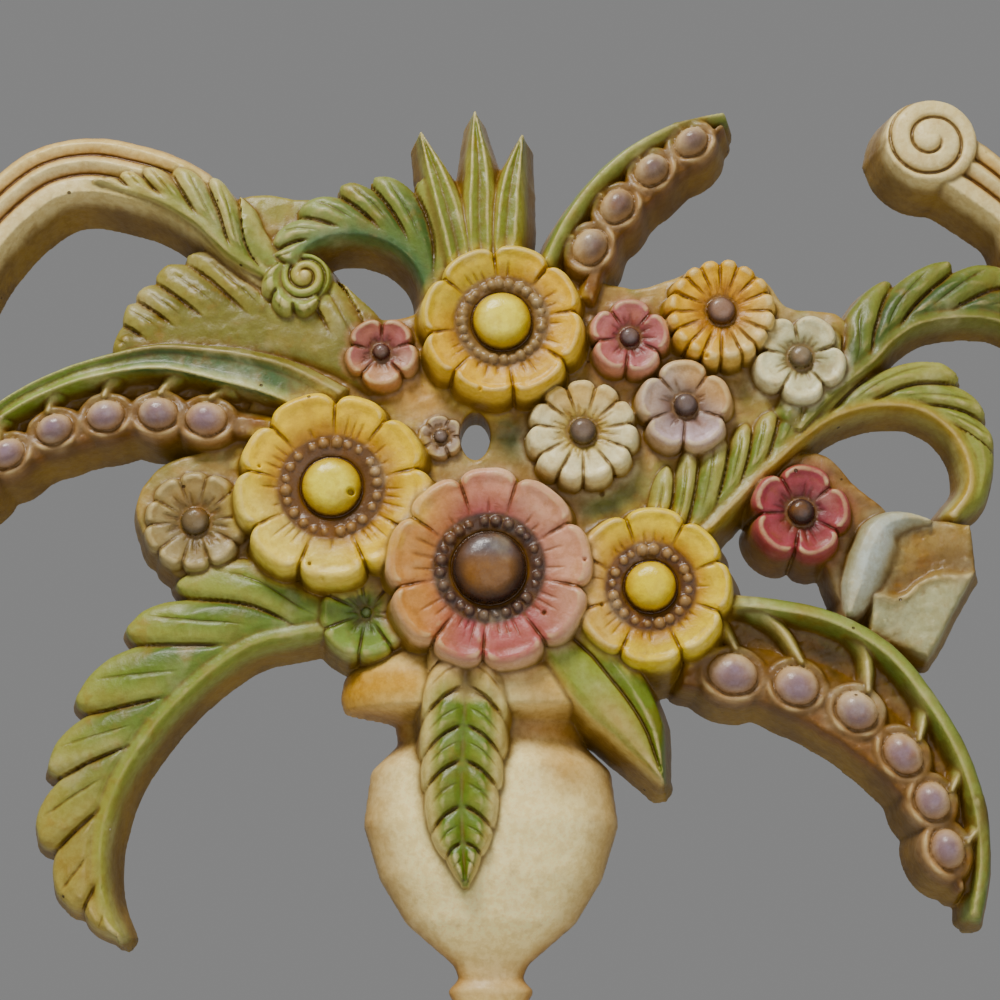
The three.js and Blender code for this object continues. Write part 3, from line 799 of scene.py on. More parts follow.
CRIMSON_LOOK = dict(
    deep=(106, 48, 54), petal=(144, 68, 74), rim=(164, 92, 90), collar=(70, 44, 40), bead=BARK,
    boss=(74, 58, 54), boss_edge=(44, 32, 30))
BUD_LOOK = dict(MAUVE_LOOK, petal=(140, 122, 108), turned=())
OLIVE_LOOK = dict(
    deep=(112, 96, 60), petal=(148, 130, 86), rim=(176, 160, 114), collar=(104, 88, 52), bead=BARK,
    boss=(112, 96, 70), boss_edge=(78, 64, 44))
GREEN_LOOK = dict(
    deep=(78, 104, 46), petal=(118, 142, 60), rim=(166, 164, 86), collar=(84, 104, 50), bead=LEAF,
    boss=(76, 98, 56), boss_edge=(60, 76, 42), turned=((70, (150, 134, 60), 0.7),))

# place, radius, front, number of petals, radius and rise of the boss
FLOWERS = [
    Flower((-36.9, -14.5), 14.1, 18.5, 7, 1.6, 0.2, GREEN_LOOK, notch=0.06, turn=0, seam=0.9, dish=0.2),
    Flower((-15, 40.5), 6.8, 17, 5, 2.2, 0.8, BUD_LOOK, notch=0.15, power=3, seam=0.6),
    Flower((-88.8, 13.5), 15.6, 19, 10, 4.3, 0.8, OLIVE_LOOK, notch=0.1, power=3, turn=5, seam=1.1,
           shown=0.7),
    Flower((93.7, 16.1), 15.3, 20, 5, 4.0, 1.8, CRIMSON_LOOK, notch=0.2, power=3, turn=40, dish=1.0),
    Flower((94.9, 64.8), 14.4, 21, 5, 3.6, 1.8, WHITE_LOOK, notch=0.26, power=3, turn=20, dish=1.0),
    Flower((59.4, 49.1), 14.6, 22, 5, 3.6, 1.8, MAUVE_LOOK, notch=0.2, power=3.5, turn=55, dish=1.0),
    Flower((-33.4, 66.7), 11.3, 20, 5, 2.6, 0.8, DARK_RED, notch=0.2, power=3, turn=18, dish=0.9),
    Flower((42.7, 70.9), 12.5, 22, 5, 3.0, 1.0, RED_ROSE, notch=0.2, power=3, turn=50, dish=0.9),
    Flower((28.1, 40.6), 16.8, 23, 11, 4.2, 1.6, CREAM_DAISY, notch=0.12, power=3, turn=10, seam=1.3),
    Flower((70.8, 78.8), 16.8, 24, 16, 4.4, 1.4, DAISY, notch=0.08, power=3, seam=1.3, crease=0.0),
    Flower((3.6, 74.6), 25.1, 27, 8, 9.0, 3.4, YELLOW_TOP, stamens=12.2, turn=8, beads=28, notch=0.1),
    Flower((-47.3, 22), 29.9, 28, 9, 9.0, 2.6, YELLOW, stamens=13.8, turn=12, beads=22, notch=0.12),
    Flower((47.5, -8.5), 24.2, 28, 8, 7.6, 2.8, YELLOW_RIGHT, stamens=11.2, turn=20, beads=20,
           tilt=(0.06, 0)),
    Flower((-0.2, -3.3), 30.8, 30, 9, 10.8, 3.4, PINK, stamens=14.4, turn=30, beads=24, notch=0.1),
]

ONE_SIDE = [[0, -0.4], [0.2, 0], [0.6, 0], [1, -2.6], [1.3, -4.2]]
LEFT_LEAF = [[-1.3, -2.5], [-1, -1.5], *ONE_SIDE]
RIGHT_LEAF = [[-q, rise] for q, rise in reversed(ONE_SIDE)] + [[1, -1.5], [1.3, -2.5]]
BOTH_LEAF = [[-1.3, -3], [-1, -1.8], [-0.55, 0.4], [0, -0.9], [0.55, 0.4], [1, -1.8], [1.3, -3]]
POINTED_LEAF = [[-1.3, -3], [-1, -1.6], [-0.6, 0.3], [0, 0.3], [0.35, -0.9], [0.6, 0.3], [1, -1.6], [1.3, -3]]
MOULDED = [[-1.3, -6.5], [-1, -5], [-0.84, -1.5], [-0.66, -3], [-0.5, 0], [-0.32, -2.5], [-0.22, -0.8],
           [0, -0.8], [1, -1.4], [1.3, -2]]


def lobes(side, count, sweep, notch, groove, to=1.0, inner=0.08, bend=0.4, first=0):
    """Lobes along a side, swept towards the tip, parted by notches in the edge and by grooves."""
    return dict(side=side, count=count, sweep=sweep, notch=notch, groove=groove, to=to, inner=inner,
                bend=bend, first=first)


FIRST_LEAF = leaf_look((102, 122, 48), (156, 158, 84), (58, 84, 30), (142, 148, 70),
                       tip=(176, 154, 88))
FAN_LEAF = leaf_look((114, 110, 50), (158, 148, 84), (82, 78, 32), (82, 92, 44),
                     first=(76, 86, 40))
CURL_LEAF = leaf_look((86, 106, 48), (136, 142, 76), (48, 72, 36), (72, 104, 72),
                      tip=(142, 152, 92))
UPPER_LEAF = leaf_look((76, 94, 40), (132, 136, 68), (46, 70, 34), (128, 124, 60))
RIGHT_LOOK = leaf_look((122, 130, 58), (176, 168, 100), (84, 104, 42), (172, 140, 70),
                       tip=(140, 146, 72))
HANGING_LEAF = leaf_look((104, 124, 48), (140, 146, 68), (82, 106, 40), (88, 112, 40),
                         margin=(214, 196, 130), first=(208, 176, 110))


def pointed_look(facts):
    """Light green with a buff middle on the broad side of the midrib, darker beyond it."""
    signed = facts["signed"]
    middle = dent(signed + 0.35, 0.5) * step(0.3, 0.6, facts["u"])
    tint = brush(flat_tint((136, 146, 66), signed), (172, 154, 92), middle)
    tint = brush(tint, (198, 178, 112), 1 - step(-1.0, -0.8, signed))
    return brush(tint, (98, 116, 44), step(0.3, 0.45, signed) * 0.85)


BLADE = leaf_look((122, 128, 52), (172, 162, 88), (84, 96, 38), (98, 106, 42))
BLADE_REACH = [4, 5, 5, 3.5, 0.5]
CLADDING = leaf_look((122, 130, 60), (184, 176, 112), (84, 100, 44), (138, 140, 70),
                     tip=(196, 182, 110))

# spine, left, right, crest, section, look and lobes
LEAVES = [
    Band([[-34, -17], [-56.5, -21], [-70, -24], [-81, -31], [-93, -42], [-101, -52], [-109, -66], [-113, -82],
          [-112, -98], [-107, -110]],
         [2, 2, 2, 2, 2, 2, 2, 1.5, 1], [12, 20, 28, 29, 27, 25, 22, 20, 13, 1], [16, 18, 18, 18, 18, 17, 15],
         RIGHT_LEAF, FIRST_LEAF, lobes("right", 7, 1.0, 0.22, 1.5), rib=0.4),
    Band([[-36, 56], [-50, 64], [-66, 68], [-84, 67.5], [-102, 64.5], [-119, 60]],
         [2, 2], [14, 22, 29, 34, 36, 32, 22, 1], [17, 16, 15],
         RIGHT_LEAF, FAN_LEAF, lobes("right", 8, 0.8, 0.06, 1.1, inner=0.3, bend=0), rough=0.3),
    Band([[-18, 76], [-21.7, 93], [-28.7, 101], [-39.2, 105.2], [-49.6, 104.7], [-57.3, 100.6], [-60.7, 95]],
         [1, 1], [16, 26, 27, 26, 21, 16, 12, 8], [18, 20, 20, 20],
         RIGHT_LEAF, CURL_LEAF, lobes("right", 6, 1.0, 0.2, 1.6)),
    Band([[94, 42], [106, 54.5], [118.2, 65], [124.8, 72], [132.2, 77], [142.2, 79.5], [156.6, 79], [168, 72],
          [174, 61]],
         [10, 14, 16, 16.5, 18, 19.5, 18, 12, 1], [1, 1], [18, 17.5, 16, 14, 13, 12],
         LEFT_LEAF, UPPER_LEAF, lobes("left", 7, 1.3, 0.17, 1.6), rib=0.5),
    Band([[56, 0], [68, 13], [82, 27.5], [96, 40.5], [106.8, 47.5], [119.4, 50.8], [131.5, 49.8],
          [140.8, 43.5], [145.5, 34], [145.5, 25], [139.3, 16]],
         [16, 24, 22, 17, 13, 13, 13, 18, 12, 6.5, 3], [1.5, 1.5], [19, 18.5, 17, 15, 13, 15],
         LEFT_LEAF, RIGHT_LOOK, lobes("left", 8, 1.6, 0.16, 1.4, 0.75, first=-3), rib=0.8),
    Band([[18, -22], [30, -36], [41, -49], [50.5, -65]],
         [10, 14, 12, 8, 0.5], [6, 8, 8, 5, 0.5], [24, 24, 24, 22],
         POINTED_LEAF, pointed_look, midline=0.35),
    Band([[-6.5, -26], [-7.5, -50], [-8, -76], [-7, -95]],
         [11, 12, 12, 11, 9, 1], [11, 12, 12, 11, 9, 1], [25, 25, 24, 22],
         BOTH_LEAF, HANGING_LEAF, lobes("both", 6, 0.8, 0.04, 1.0, inner=0.0, bend=-0.7)),
    *[Band(spine, BLADE_REACH, BLADE_REACH, [22, 22, 21, 19], BOTH_LEAF, BLADE) for spine in (
        [[-8, 88], [-12, 108], [-16.5, 124], [-22, 140]],
        [[-2, 88], [-3.5, 108], [-3.5, 126], [-5, 147]],
        [[4, 88], [5, 105], [6.5, 122], [10, 139]])],
]

SCROLLS = [
    Band([[-70, 88], [-79.8, 96], [-91.3, 106.2], [-103, 113.5], [-115.3, 117.2], [-125, 119],
          [-134.3, 117.2], [-144, 110], [-151.8, 100.6], [-158, 90], [-162, 78], [-164, 62], [-162, 48]],
         [0.8, 0.8], [8, 13, 17, 19, 20, 20, 20, 19, 18, 16, 14, 12, 10], [17, 20, 21, 21, 21, 20, 18],
         MOULDED, moulded_look, moulded=True),
    Band([[167, 84], [163, 99], [159.5, 108.5], [150, 116.5], [139.5, 123.5], [130, 128], [124, 136]],
         [0.8, 0.8], [8, 12, 16, 19, 20, 19, 14], [16, 19, 20, 21, 21], MOULDED, moulded_look, moulded=True),
    Band([[-68, 91], [-79.8, 97.5], [-91.3, 108.2], [-103, 115.4], [-115, 119.5], [-124, 122]],
         [1, 1], [9, 13, 16, 16, 13, 8, 1], [18.5, 21.7, 22.2, 22, 21],
         RIGHT_LEAF, CLADDING, lobes("right", 5, 1.6, 0.2, 1.4), rib=0.3),
]

CURL_LOBES = Band([[-64.9, 95.8], [-66, 91.5], [-64.9, 87.3], [-61.8, 84.1], [-57.5, 83], [-53.2, 84.1]],
                  [2, 2], [2, 4.5, 5.6, 5.6, 5, 1], [20, 19.5, 19.3, 19.3, 19.5], RIGHT_LEAF,
                  leaf_look((130, 142, 70), (176, 174, 104), (92, 108, 52), (142, 152, 82)),
                  lobes("right", 3, 0.3, 0.32, 0.7), rounding=0.9)

VOLUTES = [
    Volute((-57.5, 91.5), 7.5, 20.5, ((190, 180, 108), (140, 156, 76)), turn=0.2, way=-1),
    Volute((-163, 38), 12, 19.5, (CREAM, IVORY), turn=0.1, way=1),
    Volute((138, 136), 14, 22.5, (CREAM, IVORY), turn=0.6, way=-1),
]

GREEN_PATCHES = [  # place, size and colour
    ((9, 40), 8, (58, 78, 40)), ((35, 18), 15, (88, 98, 44)), ((-62, 48), 14, (88, 96, 44)),
    ((-66, -8), 12, (150, 132, 66)), ((78, 56), 10, (124, 110, 52)), ((42, 55), 9, (190, 146, 76)),
    ((-22, 55), 10, (190, 148, 86)), ((-50, 60), 9, (176, 154, 80)),
]

GROUNDS = [
    Plate([[-76, -6], [-56, -16], [-34, -25], [0, -34], [30, -32], [52, -26], [64, -14], [64, 6], [74, 22],
           [92, 40], [102, 52], [112, 68], [108, 80], [92, 83], [85, 92], [71, 97], [56, 92], [46, 89],
           [30, 92], [10, 94], [-12, 92], [-20, 82], [-34, 79], [-46, 83], [-62, 84], [-70, 60], [-80, 40],
           [-101, 31], [-107, 18], [-95, -2]],
          14.5, ((164, 138, 82), (140, 126, 70)), patches=GREEN_PATCHES),
    Plate([[-84, 90], [-62, 86], [-54, 100], [-48, 118], [-62, 119.5], [-72, 121], [-82, 118], [-88, 104]],
          13, ((152, 142, 78), (136, 130, 66))),
    Plate([[90, 11.5], [100, 4], [107, -11], [114, -6], [122, 10], [120, 18], [112, 25], [101, 36], [84, 31],
           [79, 18]], 13, ((146, 116, 74), (116, 88, 52))),
]

FOLD = plain_look((192, 200, 190), (150, 146, 112), (180, 182, 160), (166, 168, 142))


def panel_look(facts):
    """Amber above and in the dip, sage towards the free end."""
    past = terrace_place(facts["u"], facts["signed"])
    tint = brush(flat_tint((146, 120, 68), facts["q"]), (104, 80, 42), dent(past + 0.1, 0.12) * 0.9)
    return brush(tint, (166, 164, 124), step(-0.02, 0.16, past))


RIBBON = [
    Band([[131, 15], [129, 2], [126, -12], [121.5, -23]], [14, 17, 12, 10], [8, 8, 12, 8], [15, 15, 14, 12],
         [[-1.3, 0.6], [-1, 0.4], [-0.5, -0.8], [0.2, -1.2], [0.7, 0.2], [1, 0.4], [1.3, 0.4]], panel_look,
         rough=0.5, terrace=1.6),
    Band([[107.5, -15], [111, -5], [114, 4], [119, 12], [126, 14.5], [133, 14]],
         [1.5, 4.5, 5, 5, 3, 1], [3, 6, 8, 8, 5, 2], [17.5, 20, 20.3, 20, 18.5, 16.5],
         [[-1.3, -6.5], [-1, -5.2], [-0.5, -2.4], [0, 0], [0.6, -0.2], [1, -2.2], [1.3, -3.5]], FOLD),
]

RIB = leaf_look((104, 122, 54), (166, 170, 104), (84, 104, 46), (158, 164, 92),
                margin=(96, 112, 52))


def broad_rib_look(facts):
    """Pale along the pods, blue green in the hollow and olive on the outer ridge."""
    q = facts["q"]
    tint = brush(flat_tint((160, 168, 106), q), (62, 88, 50), step(0.06, 0.3, q))
    tint = brush(tint, (106, 100, 40), step(0.6, 0.8, q))
    tint = brush(tint, (124, 144, 66), step(0.4, 0.6, facts["u"]))
    return brush(tint, (150, 140, 84), 1 - step(0.02, 0.16, facts["u"]))


def floor_look(facts):
    """Dark brown in the hollow, green towards the rib and brown under the pods."""
    tint = brush(flat_tint((76, 58, 26), facts["q"]), (96, 100, 44), step(0.45, 0.9, facts["rib_share"]))
    return brush(tint, (120, 84, 46), step(0.0, 0.5, -facts["rib_share"]))


STEM = plain_look((176, 164, 104), (118, 108, 56), first=(122, 134, 62))
RIB_CREST = [20, 22, 22, 22, 20, 17]
FLOOR_SECTION = [[-1.3, 4.5], [-1, 6], [-0.4, 6], [0.1, 0], [1, 0], [1.3, -0.6]]
RIB_SECTION = [[-1.3, -4.5], [-1, -3.5], [-0.4, 0], [0, -0.4], [1, -2], [1.3, -3]]
BROAD_RIB_SECTION = [[-1.3, -4], [-1, -1.6], [-0.8, 0.2], [-0.6, -1.6], [-0.3, -1.4], [0, 0.4], [1, -1.6],
                     [1.3, -3]]
STEM_SECTION = [[-1.3, -2.6], [-1, -1.8], [0, 0], [1, -1.8], [1.3, -2.6]]
STEM_REACH = [2.6, 2.2, 1.4]
STEM_CREST = [20.5, 19, 20.5]
FLOOR_CREST = [13, 13]
POD_TAPER = 0.04  # each pod is this share smaller than the one before

SPRAYS = [
    dict(rib=[[-50, 44], [-65.5, 51.8], [-80.9, 56.3], [-101.5, 60.7], [-123.5, 57.2], [-137.7, 51.8],
              [-148.4, 45.6], [-160, 36], [-167, 24]],
         reach=[13, 13, 12, 9, 7, 6, 5.5, 4, 1], lip=1, pod_side=1, rib_side=-1,
         floor=[[-62, 47], [-81, 50.5], [-101, 54], [-122, 51], [-138, 45], [-150, 36], [-161, 26]],
         lower=[8, 9, 11, 12.5, 12, 10, 4], upper=[8, 8, 8, 8, 7, 6, 3],
         pods=[[-86.3, 45.3], [-101, 47], [-116.9, 46.3], [-132.3, 42], [-146, 34.3], [-156.5, 25.5]],
         radius=5.7, back=6, rib_form=(BROAD_RIB_SECTION, broad_rib_look)),
    dict(rib=[[60, -12], [70.8, -11.8], [86, -13.6], [102.4, -17.6], [118.5, -27.7], [129.9, -42.6],
              [137.8, -57.4], [142.1, -71.9], [143, -88], [140, -104]],
         reach=[3, 3, 3, 3, 3, 3, 3, 3, 2, 1], lip=2.6, pod_side=-1, rib_side=-1,
         floor=[[58, -24], [74, -25], [90, -28], [106, -34], [120, -46], [131, -62], [136, -78], [138, -96]],
         upper=[13, 13, 13, 12, 10, 8, 6, 3], lower=[12, 14, 17, 18, 16, 13, 8, 2],
         pods=[[71.8, -33.4], [90.5, -37], [107.9, -44.4], [121, -57.3], [129, -71], [132.8, -85]],
         radius=6.6, back=20),
    dict(rib=[[16, 90], [20, 100], [25, 110], [32, 120], [43, 131], [57, 140], [74, 147]],
         reach=[3, 3, 3, 3, 3, 3, 1], lip=2, pod_side=-1, rib_side=1,
         floor=[[26, 86], [31, 98], [38, 110], [48, 122], [60, 133], [72, 143]],
         upper=[12, 10, 9, 8, 7, 3], lower=[6, 5, 4.5, 5, 5, 2],
         pods=[[31, 101], [39.5, 114.5], [50.5, 126.5], [63, 136]],
         radius=5.6, back=3, pod_colour=(120, 96, 80)),
]


def mirrored(section, flip):
    return [[-q, rise] for q, rise in reversed(section)] if flip else section


def floor_and_rib(rib, reach, lip, pod_side, rib_side, floor, lower, upper, rib_form):
    """The hollow under the pods, and the rib beside it."""
    sides = (lower, upper) if pod_side > 0 else (upper, lower)
    rib_sides = (reach, [lip, lip]) if rib_side > 0 else ([lip, lip], reach)
    section, look = rib_form

    def floor_paint(facts):
        return floor_look(dict(facts, rib_share=-pod_side * facts["signed"]))

    return [
        Band(floor, *sides, FLOOR_CREST, mirrored(FLOOR_SECTION, pod_side > 0), floor_paint,
             rough=0.55, wear=0.3),
        Band(rib, *rib_sides, RIB_CREST, mirrored(section, rib_side > 0), look, wear=0.6),
    ]


def spray(rib, reach, lip, pod_side, rib_side, floor, lower, upper, pods, radius, back,
          rib_form=(RIB_SECTION, RIB), pod_colour=LILAC):
    """A rib, its floor and a chain of pods. Each pod's stem leaves the rib further back."""
    made = floor_and_rib(rib, reach, lip, pod_side, rib_side, floor, lower, upper, rib_form)
    line = spine_points(rib)
    runs = np.r_[0, np.cumsum(np.hypot(*np.diff(line, axis=0).T))]
    chain = np.array(pods)
    ahead = np.gradient(chain, axis=0)
    ahead = ahead / np.hypot(*ahead.T)[:, None]
    for index, (place, direction) in enumerate(zip(chain, ahead)):
        size = radius * (1 - POD_TAPER * index)
        run, off, _ = on_spine(line, place[:1], place[1:])
        start = max(run[0] - back * min(1, 0.5 + abs(off[0]) / 40), 0)
        from_rib = np.array([np.interp(start, runs, line[:, 0]), np.interp(start, runs, line[:, 1])])
        outward = np.array([-direction[1], direction[0]]) * -pod_side
        top = place + outward * (size + 0.5)
        bend = 0.45 * from_rib + 0.55 * top + outward * 0.16 * back
        made.append(Band([from_rib, bend, top], STEM_REACH, STEM_REACH, STEM_CREST, STEM_SECTION, STEM,
                         rounding=0.9))
        made.append(Pod(place, size, direction, pod_side, pod_colour))
    return made


URN_PROFILE = [  # radius and height
    [34, -22], [44.5, -32], [45.5, -38], [44, -43], [29, -45.5], [28, -52], [36, -60], [38, -76], [33, -92],
    [25, -105], [11, -117], [9.5, -121], [13, -124.5], [10, -129], [16, -135], [30, -140], [30, -147],
]

ELEMENTS = [
    Urn(0.3, 0.54, URN_PROFILE),
    *GROUNDS, *LEAVES, *SCROLLS, *RIBBON, CURL_LOBES, *VOLUTES,
    *[element for one in SPRAYS for element in spray(**one)],
    *FLOWERS,
]

# the oval hole beside the bud
OVAL_AT = (-4.6, 41.5)
OVAL_HALF = (4.6, 7.5)

# ---------------------------------------------------------------- the field and its surface

MARGIN = 2  # the field goes this far past the part
LOW = np.array([cad_low.x, 0, cad_low.z]) * 1000 - MARGIN
HIGH = np.array([cad_high.x, 0, cad_high.z]) * 1000 + MARGIN
GRID_X = np.arange(LOW[0], HIGH[0], CELL)
GRID_Z = np.arange(LOW[2], HIGH[2], CELL)


def worked(element, x, z):
    """The element's outline and depth, made uneven."""
    outline, depth, _ = element.form(x, z)
    return outline + RIPPLE_RISE * RIPPLE(z, x), depth + unevenness(x, z)


def oval_hole():
    """Positive inside the oval, over the plan."""
    across = (GRID_X[:, None] - OVAL_AT[0]) / OVAL_HALF[0]
    up = (GRID_Z[None, :] - OVAL_AT[1]) / OVAL_HALF[1]
    return ((1 - np.hypot(across, up)) * min(OVAL_HALF)).astype(np.float32)[:, None, :]


def build_field():
    """The distance field of all the elements: negative inside the casting."""
    field = np.full((len(GRID_X), len(LEVELS), len(GRID_Z)), BAND, np.float32)
    levels = LEVELS[None, :, None].astype(np.float32)
    for element in ELEMENTS:
        x0, x1, z0, z1 = element.box
        i0, i1 = np.searchsorted(GRID_X, (x0, x1))
        k0, k1 = np.searchsorted(GRID_Z, (z0, z1))
        x = GRID_X[i0:i1, None]
        z = GRID_Z[None, k0:k1]
        outline, depth = worked(element, x, z)
        rise = np.hypot(*np.gradient(depth, CELL))
        slope = (1 / np.hypot(1, np.minimum(rise, STEEPEST))).astype(np.float32)[:, None, :]
        top = (levels - depth.astype(np.float32)[:, None, :]) * slope
        foot = (outline - DRAFT * depth).astype(np.float32)[:, None, :]
        wall = (foot + DRAFT * levels) * WALL_SCALE
        solid = smooth_max(wall, top, element.rounding)
        part = field[i0:i1, :, k0:k1]
        part[...] = smooth_min(part, np.minimum(solid, BAND), JOIN_ROUND)
    field = smooth_max(field, oval_hole(), HOLE_ROUND)
    field = np.maximum(field, -levels)
    return np.clip(field, -BAND, BAND)


def surface(field):
    """The mesh where the field is zero, in millimetres."""
    grid = openvdb.FloatGrid(BAND)
    grid.copyFromArray(field, tolerance=0.0)
    points, triangles, quads = grid.convertToPolygons(isovalue=0.0, adaptivity=0.0)
    points = points.astype(float) * CELL + np.array([GRID_X[0], LEVELS[0], GRID_Z[0]])
    faces = [tuple(f) for f in np.asarray(triangles)] + [tuple(f) for f in np.asarray(quads)]
    mesh = bpy.data.meshes.new("plaque_surface")
    mesh.from_pydata(points.tolist(), [], faces)
    return mesh


def keep_largest(obj):
    """Drops any loose island smaller than the casting."""
    bpy.ops.object.select_all(action="DESELECT")
    bpy.context.view_layer.objects.active = obj
    obj.select_set(True)
    bpy.ops.object.mode_set(mode="EDIT")
    bpy.ops.mesh.select_all(action="SELECT")
    bpy.ops.mesh.separate(type="LOOSE")
    bpy.ops.object.mode_set(mode="OBJECT")
    parts = [o for o in bpy.context.selected_objects if o.type == "MESH"]
    parts.sort(key=lambda o: len(o.data.vertices), reverse=True)
    for extra in parts[1:]:
        bpy.data.objects.remove(extra)
    return parts[0]


def thin_out(obj, wanted):
    """Brings the mesh down to the wanted number of triangles."""
    count = sum(len(p.vertices) - 2 for p in obj.data.polygons)
    modifier = obj.modifiers.new("thin", "DECIMATE")
    modifier.ratio = min(1.0, wanted / count)
    evaluated = obj.evaluated_get(bpy.context.evaluated_depsgraph_get())
    mesh = bpy.data.meshes.new_from_object(evaluated)
    obj.modifiers.clear()
    obj.data = mesh


def vertices_of(mesh):
    flat = np.empty(len(mesh.vertices) * 3, np.float32)
    mesh.vertices.foreach_get("co", flat)
    return flat.reshape(-1, 3).astype(float)


# ---------------------------------------------------------------- paint on the vertices

RING = 12  # neighbours looked at round each place
NEAR_RINGS = ((1.2, -0.9, 0.9), (2.4, -0.9, 1.2))  # radius, and the least and most that a neighbour counts
WIDE_RING = (6.0, -1.0, 7.0)
FADE = 2.5  # what lies this far under the front, on a wall, counts as neither hollow nor deep
CLEAR = 6.0  # the joint with the next element counts up to this distance


def ring_difference(image, radius, lowest, highest):
    """How far the neighbours on a ring lie above each place, each limited before the mean is taken."""
    total = np.zeros(image.shape)
    spread = int(math.ceil(radius / CELL)) + 1
    padded = np.pad(image, spread, "edge")
    for angle in np.linspace(0, 2 * math.pi, RING, endpoint=False):
        i = spread + int(round(radius * math.cos(angle) / CELL))
        k = spread + int(round(radius * math.sin(angle) / CELL))
        moved = padded[i:i + image.shape[0], k:k + image.shape[1]]
        total += np.clip(moved - image, lowest, highest)
    return total / RING


def heights(field):
    """Depth of the front surface over the plan, and 0 where there is none."""
    solid = field < 0
    reversed_first = np.argmax(solid[:, ::-1, :], axis=1)
    top = len(LEVELS) - 1 - reversed_first
    found = solid.any(axis=1)
    i, k = np.meshgrid(np.arange(field.shape[0]), np.arange(field.shape[2]), indexing="ij")
    inside = field[i, top, k]
    outside = field[i, np.minimum(top + 1, len(LEVELS) - 1), k]
    part = inside / np.minimum(inside - outside, -1e-6)
    return np.where(found, LEVELS[top] + part * CELL, 0.0)


def at_plan(image, x, z):
    """Values of a plan image at x and z, joined by straight lines."""
    i = np.clip((x - GRID_X[0]) / CELL, 0, image.shape[0] - 1.001)
    k = np.clip((z - GRID_Z[0]) / CELL, 0, image.shape[1] - 1.001)
    a = i.astype(int)
    b = k.astype(int)
    u = i - a
    v = k - b
    low = image[a, b] * (1 - v) + image[a, b + 1] * v
    high = image[a + 1, b] * (1 - v) + image[a + 1, b + 1] * v
    return low * (1 - u) + high * u


def winners(points):
    """For each point: the element it lies on, the next one, how far that is, and how far below its front."""
    best = np.full(len(points), 1e9)
    second = np.full(len(points), 1e9)
    owner = np.zeros(len(points), int)
    beside = np.zeros(len(points), int)
    below = np.zeros(len(points))
    x, depth_at, z = points.T
    for index, element in enumerate(ELEMENTS):
        x0, x1, z0, z1 = element.box
        near = np.nonzero((x > x0) & (x < x1) & (z > z0) & (z < z1))[0]
        if not len(near):
            continue
        outline, depth = worked(element, x[near], z[near])
        top = depth_at[near] - depth
        wall = (outline + DRAFT * (depth_at[near] - depth)) * WALL_SCALE
        value = np.maximum(wall, top)
        wins = value < best[near]
        closer = ~wins & (value < second[near])
        beside[near] = np.where(wins, owner[near], np.where(closer, index, beside[near]))
        second[near] = np.where(wins, best[near], np.minimum(second[near], value))
        chosen = near[wins]
        best[chosen] = value[wins]
        owner[chosen] = index
        below[chosen] = -top[wins]
    return owner, beside, np.clip(second - best, 0, CLEAR), below


def painted(points, owner):
    """Tint and wear of each point, painted as its owner is."""
    tint = np.zeros((len(points), 3))
    wear = np.ones(len(points))
    for index, element in enumerate(ELEMENTS):
        mine = np.nonzero(owner == index)[0]
        if len(mine):
            facts = element.form(points[mine, 0], points[mine, 2])[2]
            tint[mine], wear[mine] = element.paint(facts)
    return tint, wear


def carved_lines(points, corners):
    """Line distances and strengths at each face's corners, all by the element its middle lies on."""
    middles = points[corners].mean(axis=1)
    owner = winners(middles)[0]
    values = np.zeros((len(corners), 3, 4))
    for index, element in enumerate(ELEMENTS):
        mine = np.nonzero(owner == index)[0]
        if len(mine):
            at = points[corners[mine]]
            facts = element.form(at[..., 0], at[..., 2])[2]
            values[mine] = np.stack(element.lines(facts), axis=-1)
    return values.reshape(-1, 4)


def store(mesh, name, values, domain="POINT"):
    """Keeps colours or plain values on the mesh under a name the material reads."""
    if values.ndim == 2:
        attribute = mesh.attributes.new(name, "FLOAT_COLOR", domain)
        flat = np.concatenate([values, np.ones((len(values), 1))], 1).astype(np.float32)
        attribute.data.foreach_set("color", flat.ravel())
    else:
        attribute = mesh.attributes.new(name, "FLOAT", domain)
        attribute.data.foreach_set("value", values.astype(np.float32))


# ---------------------------------------------------------------- material


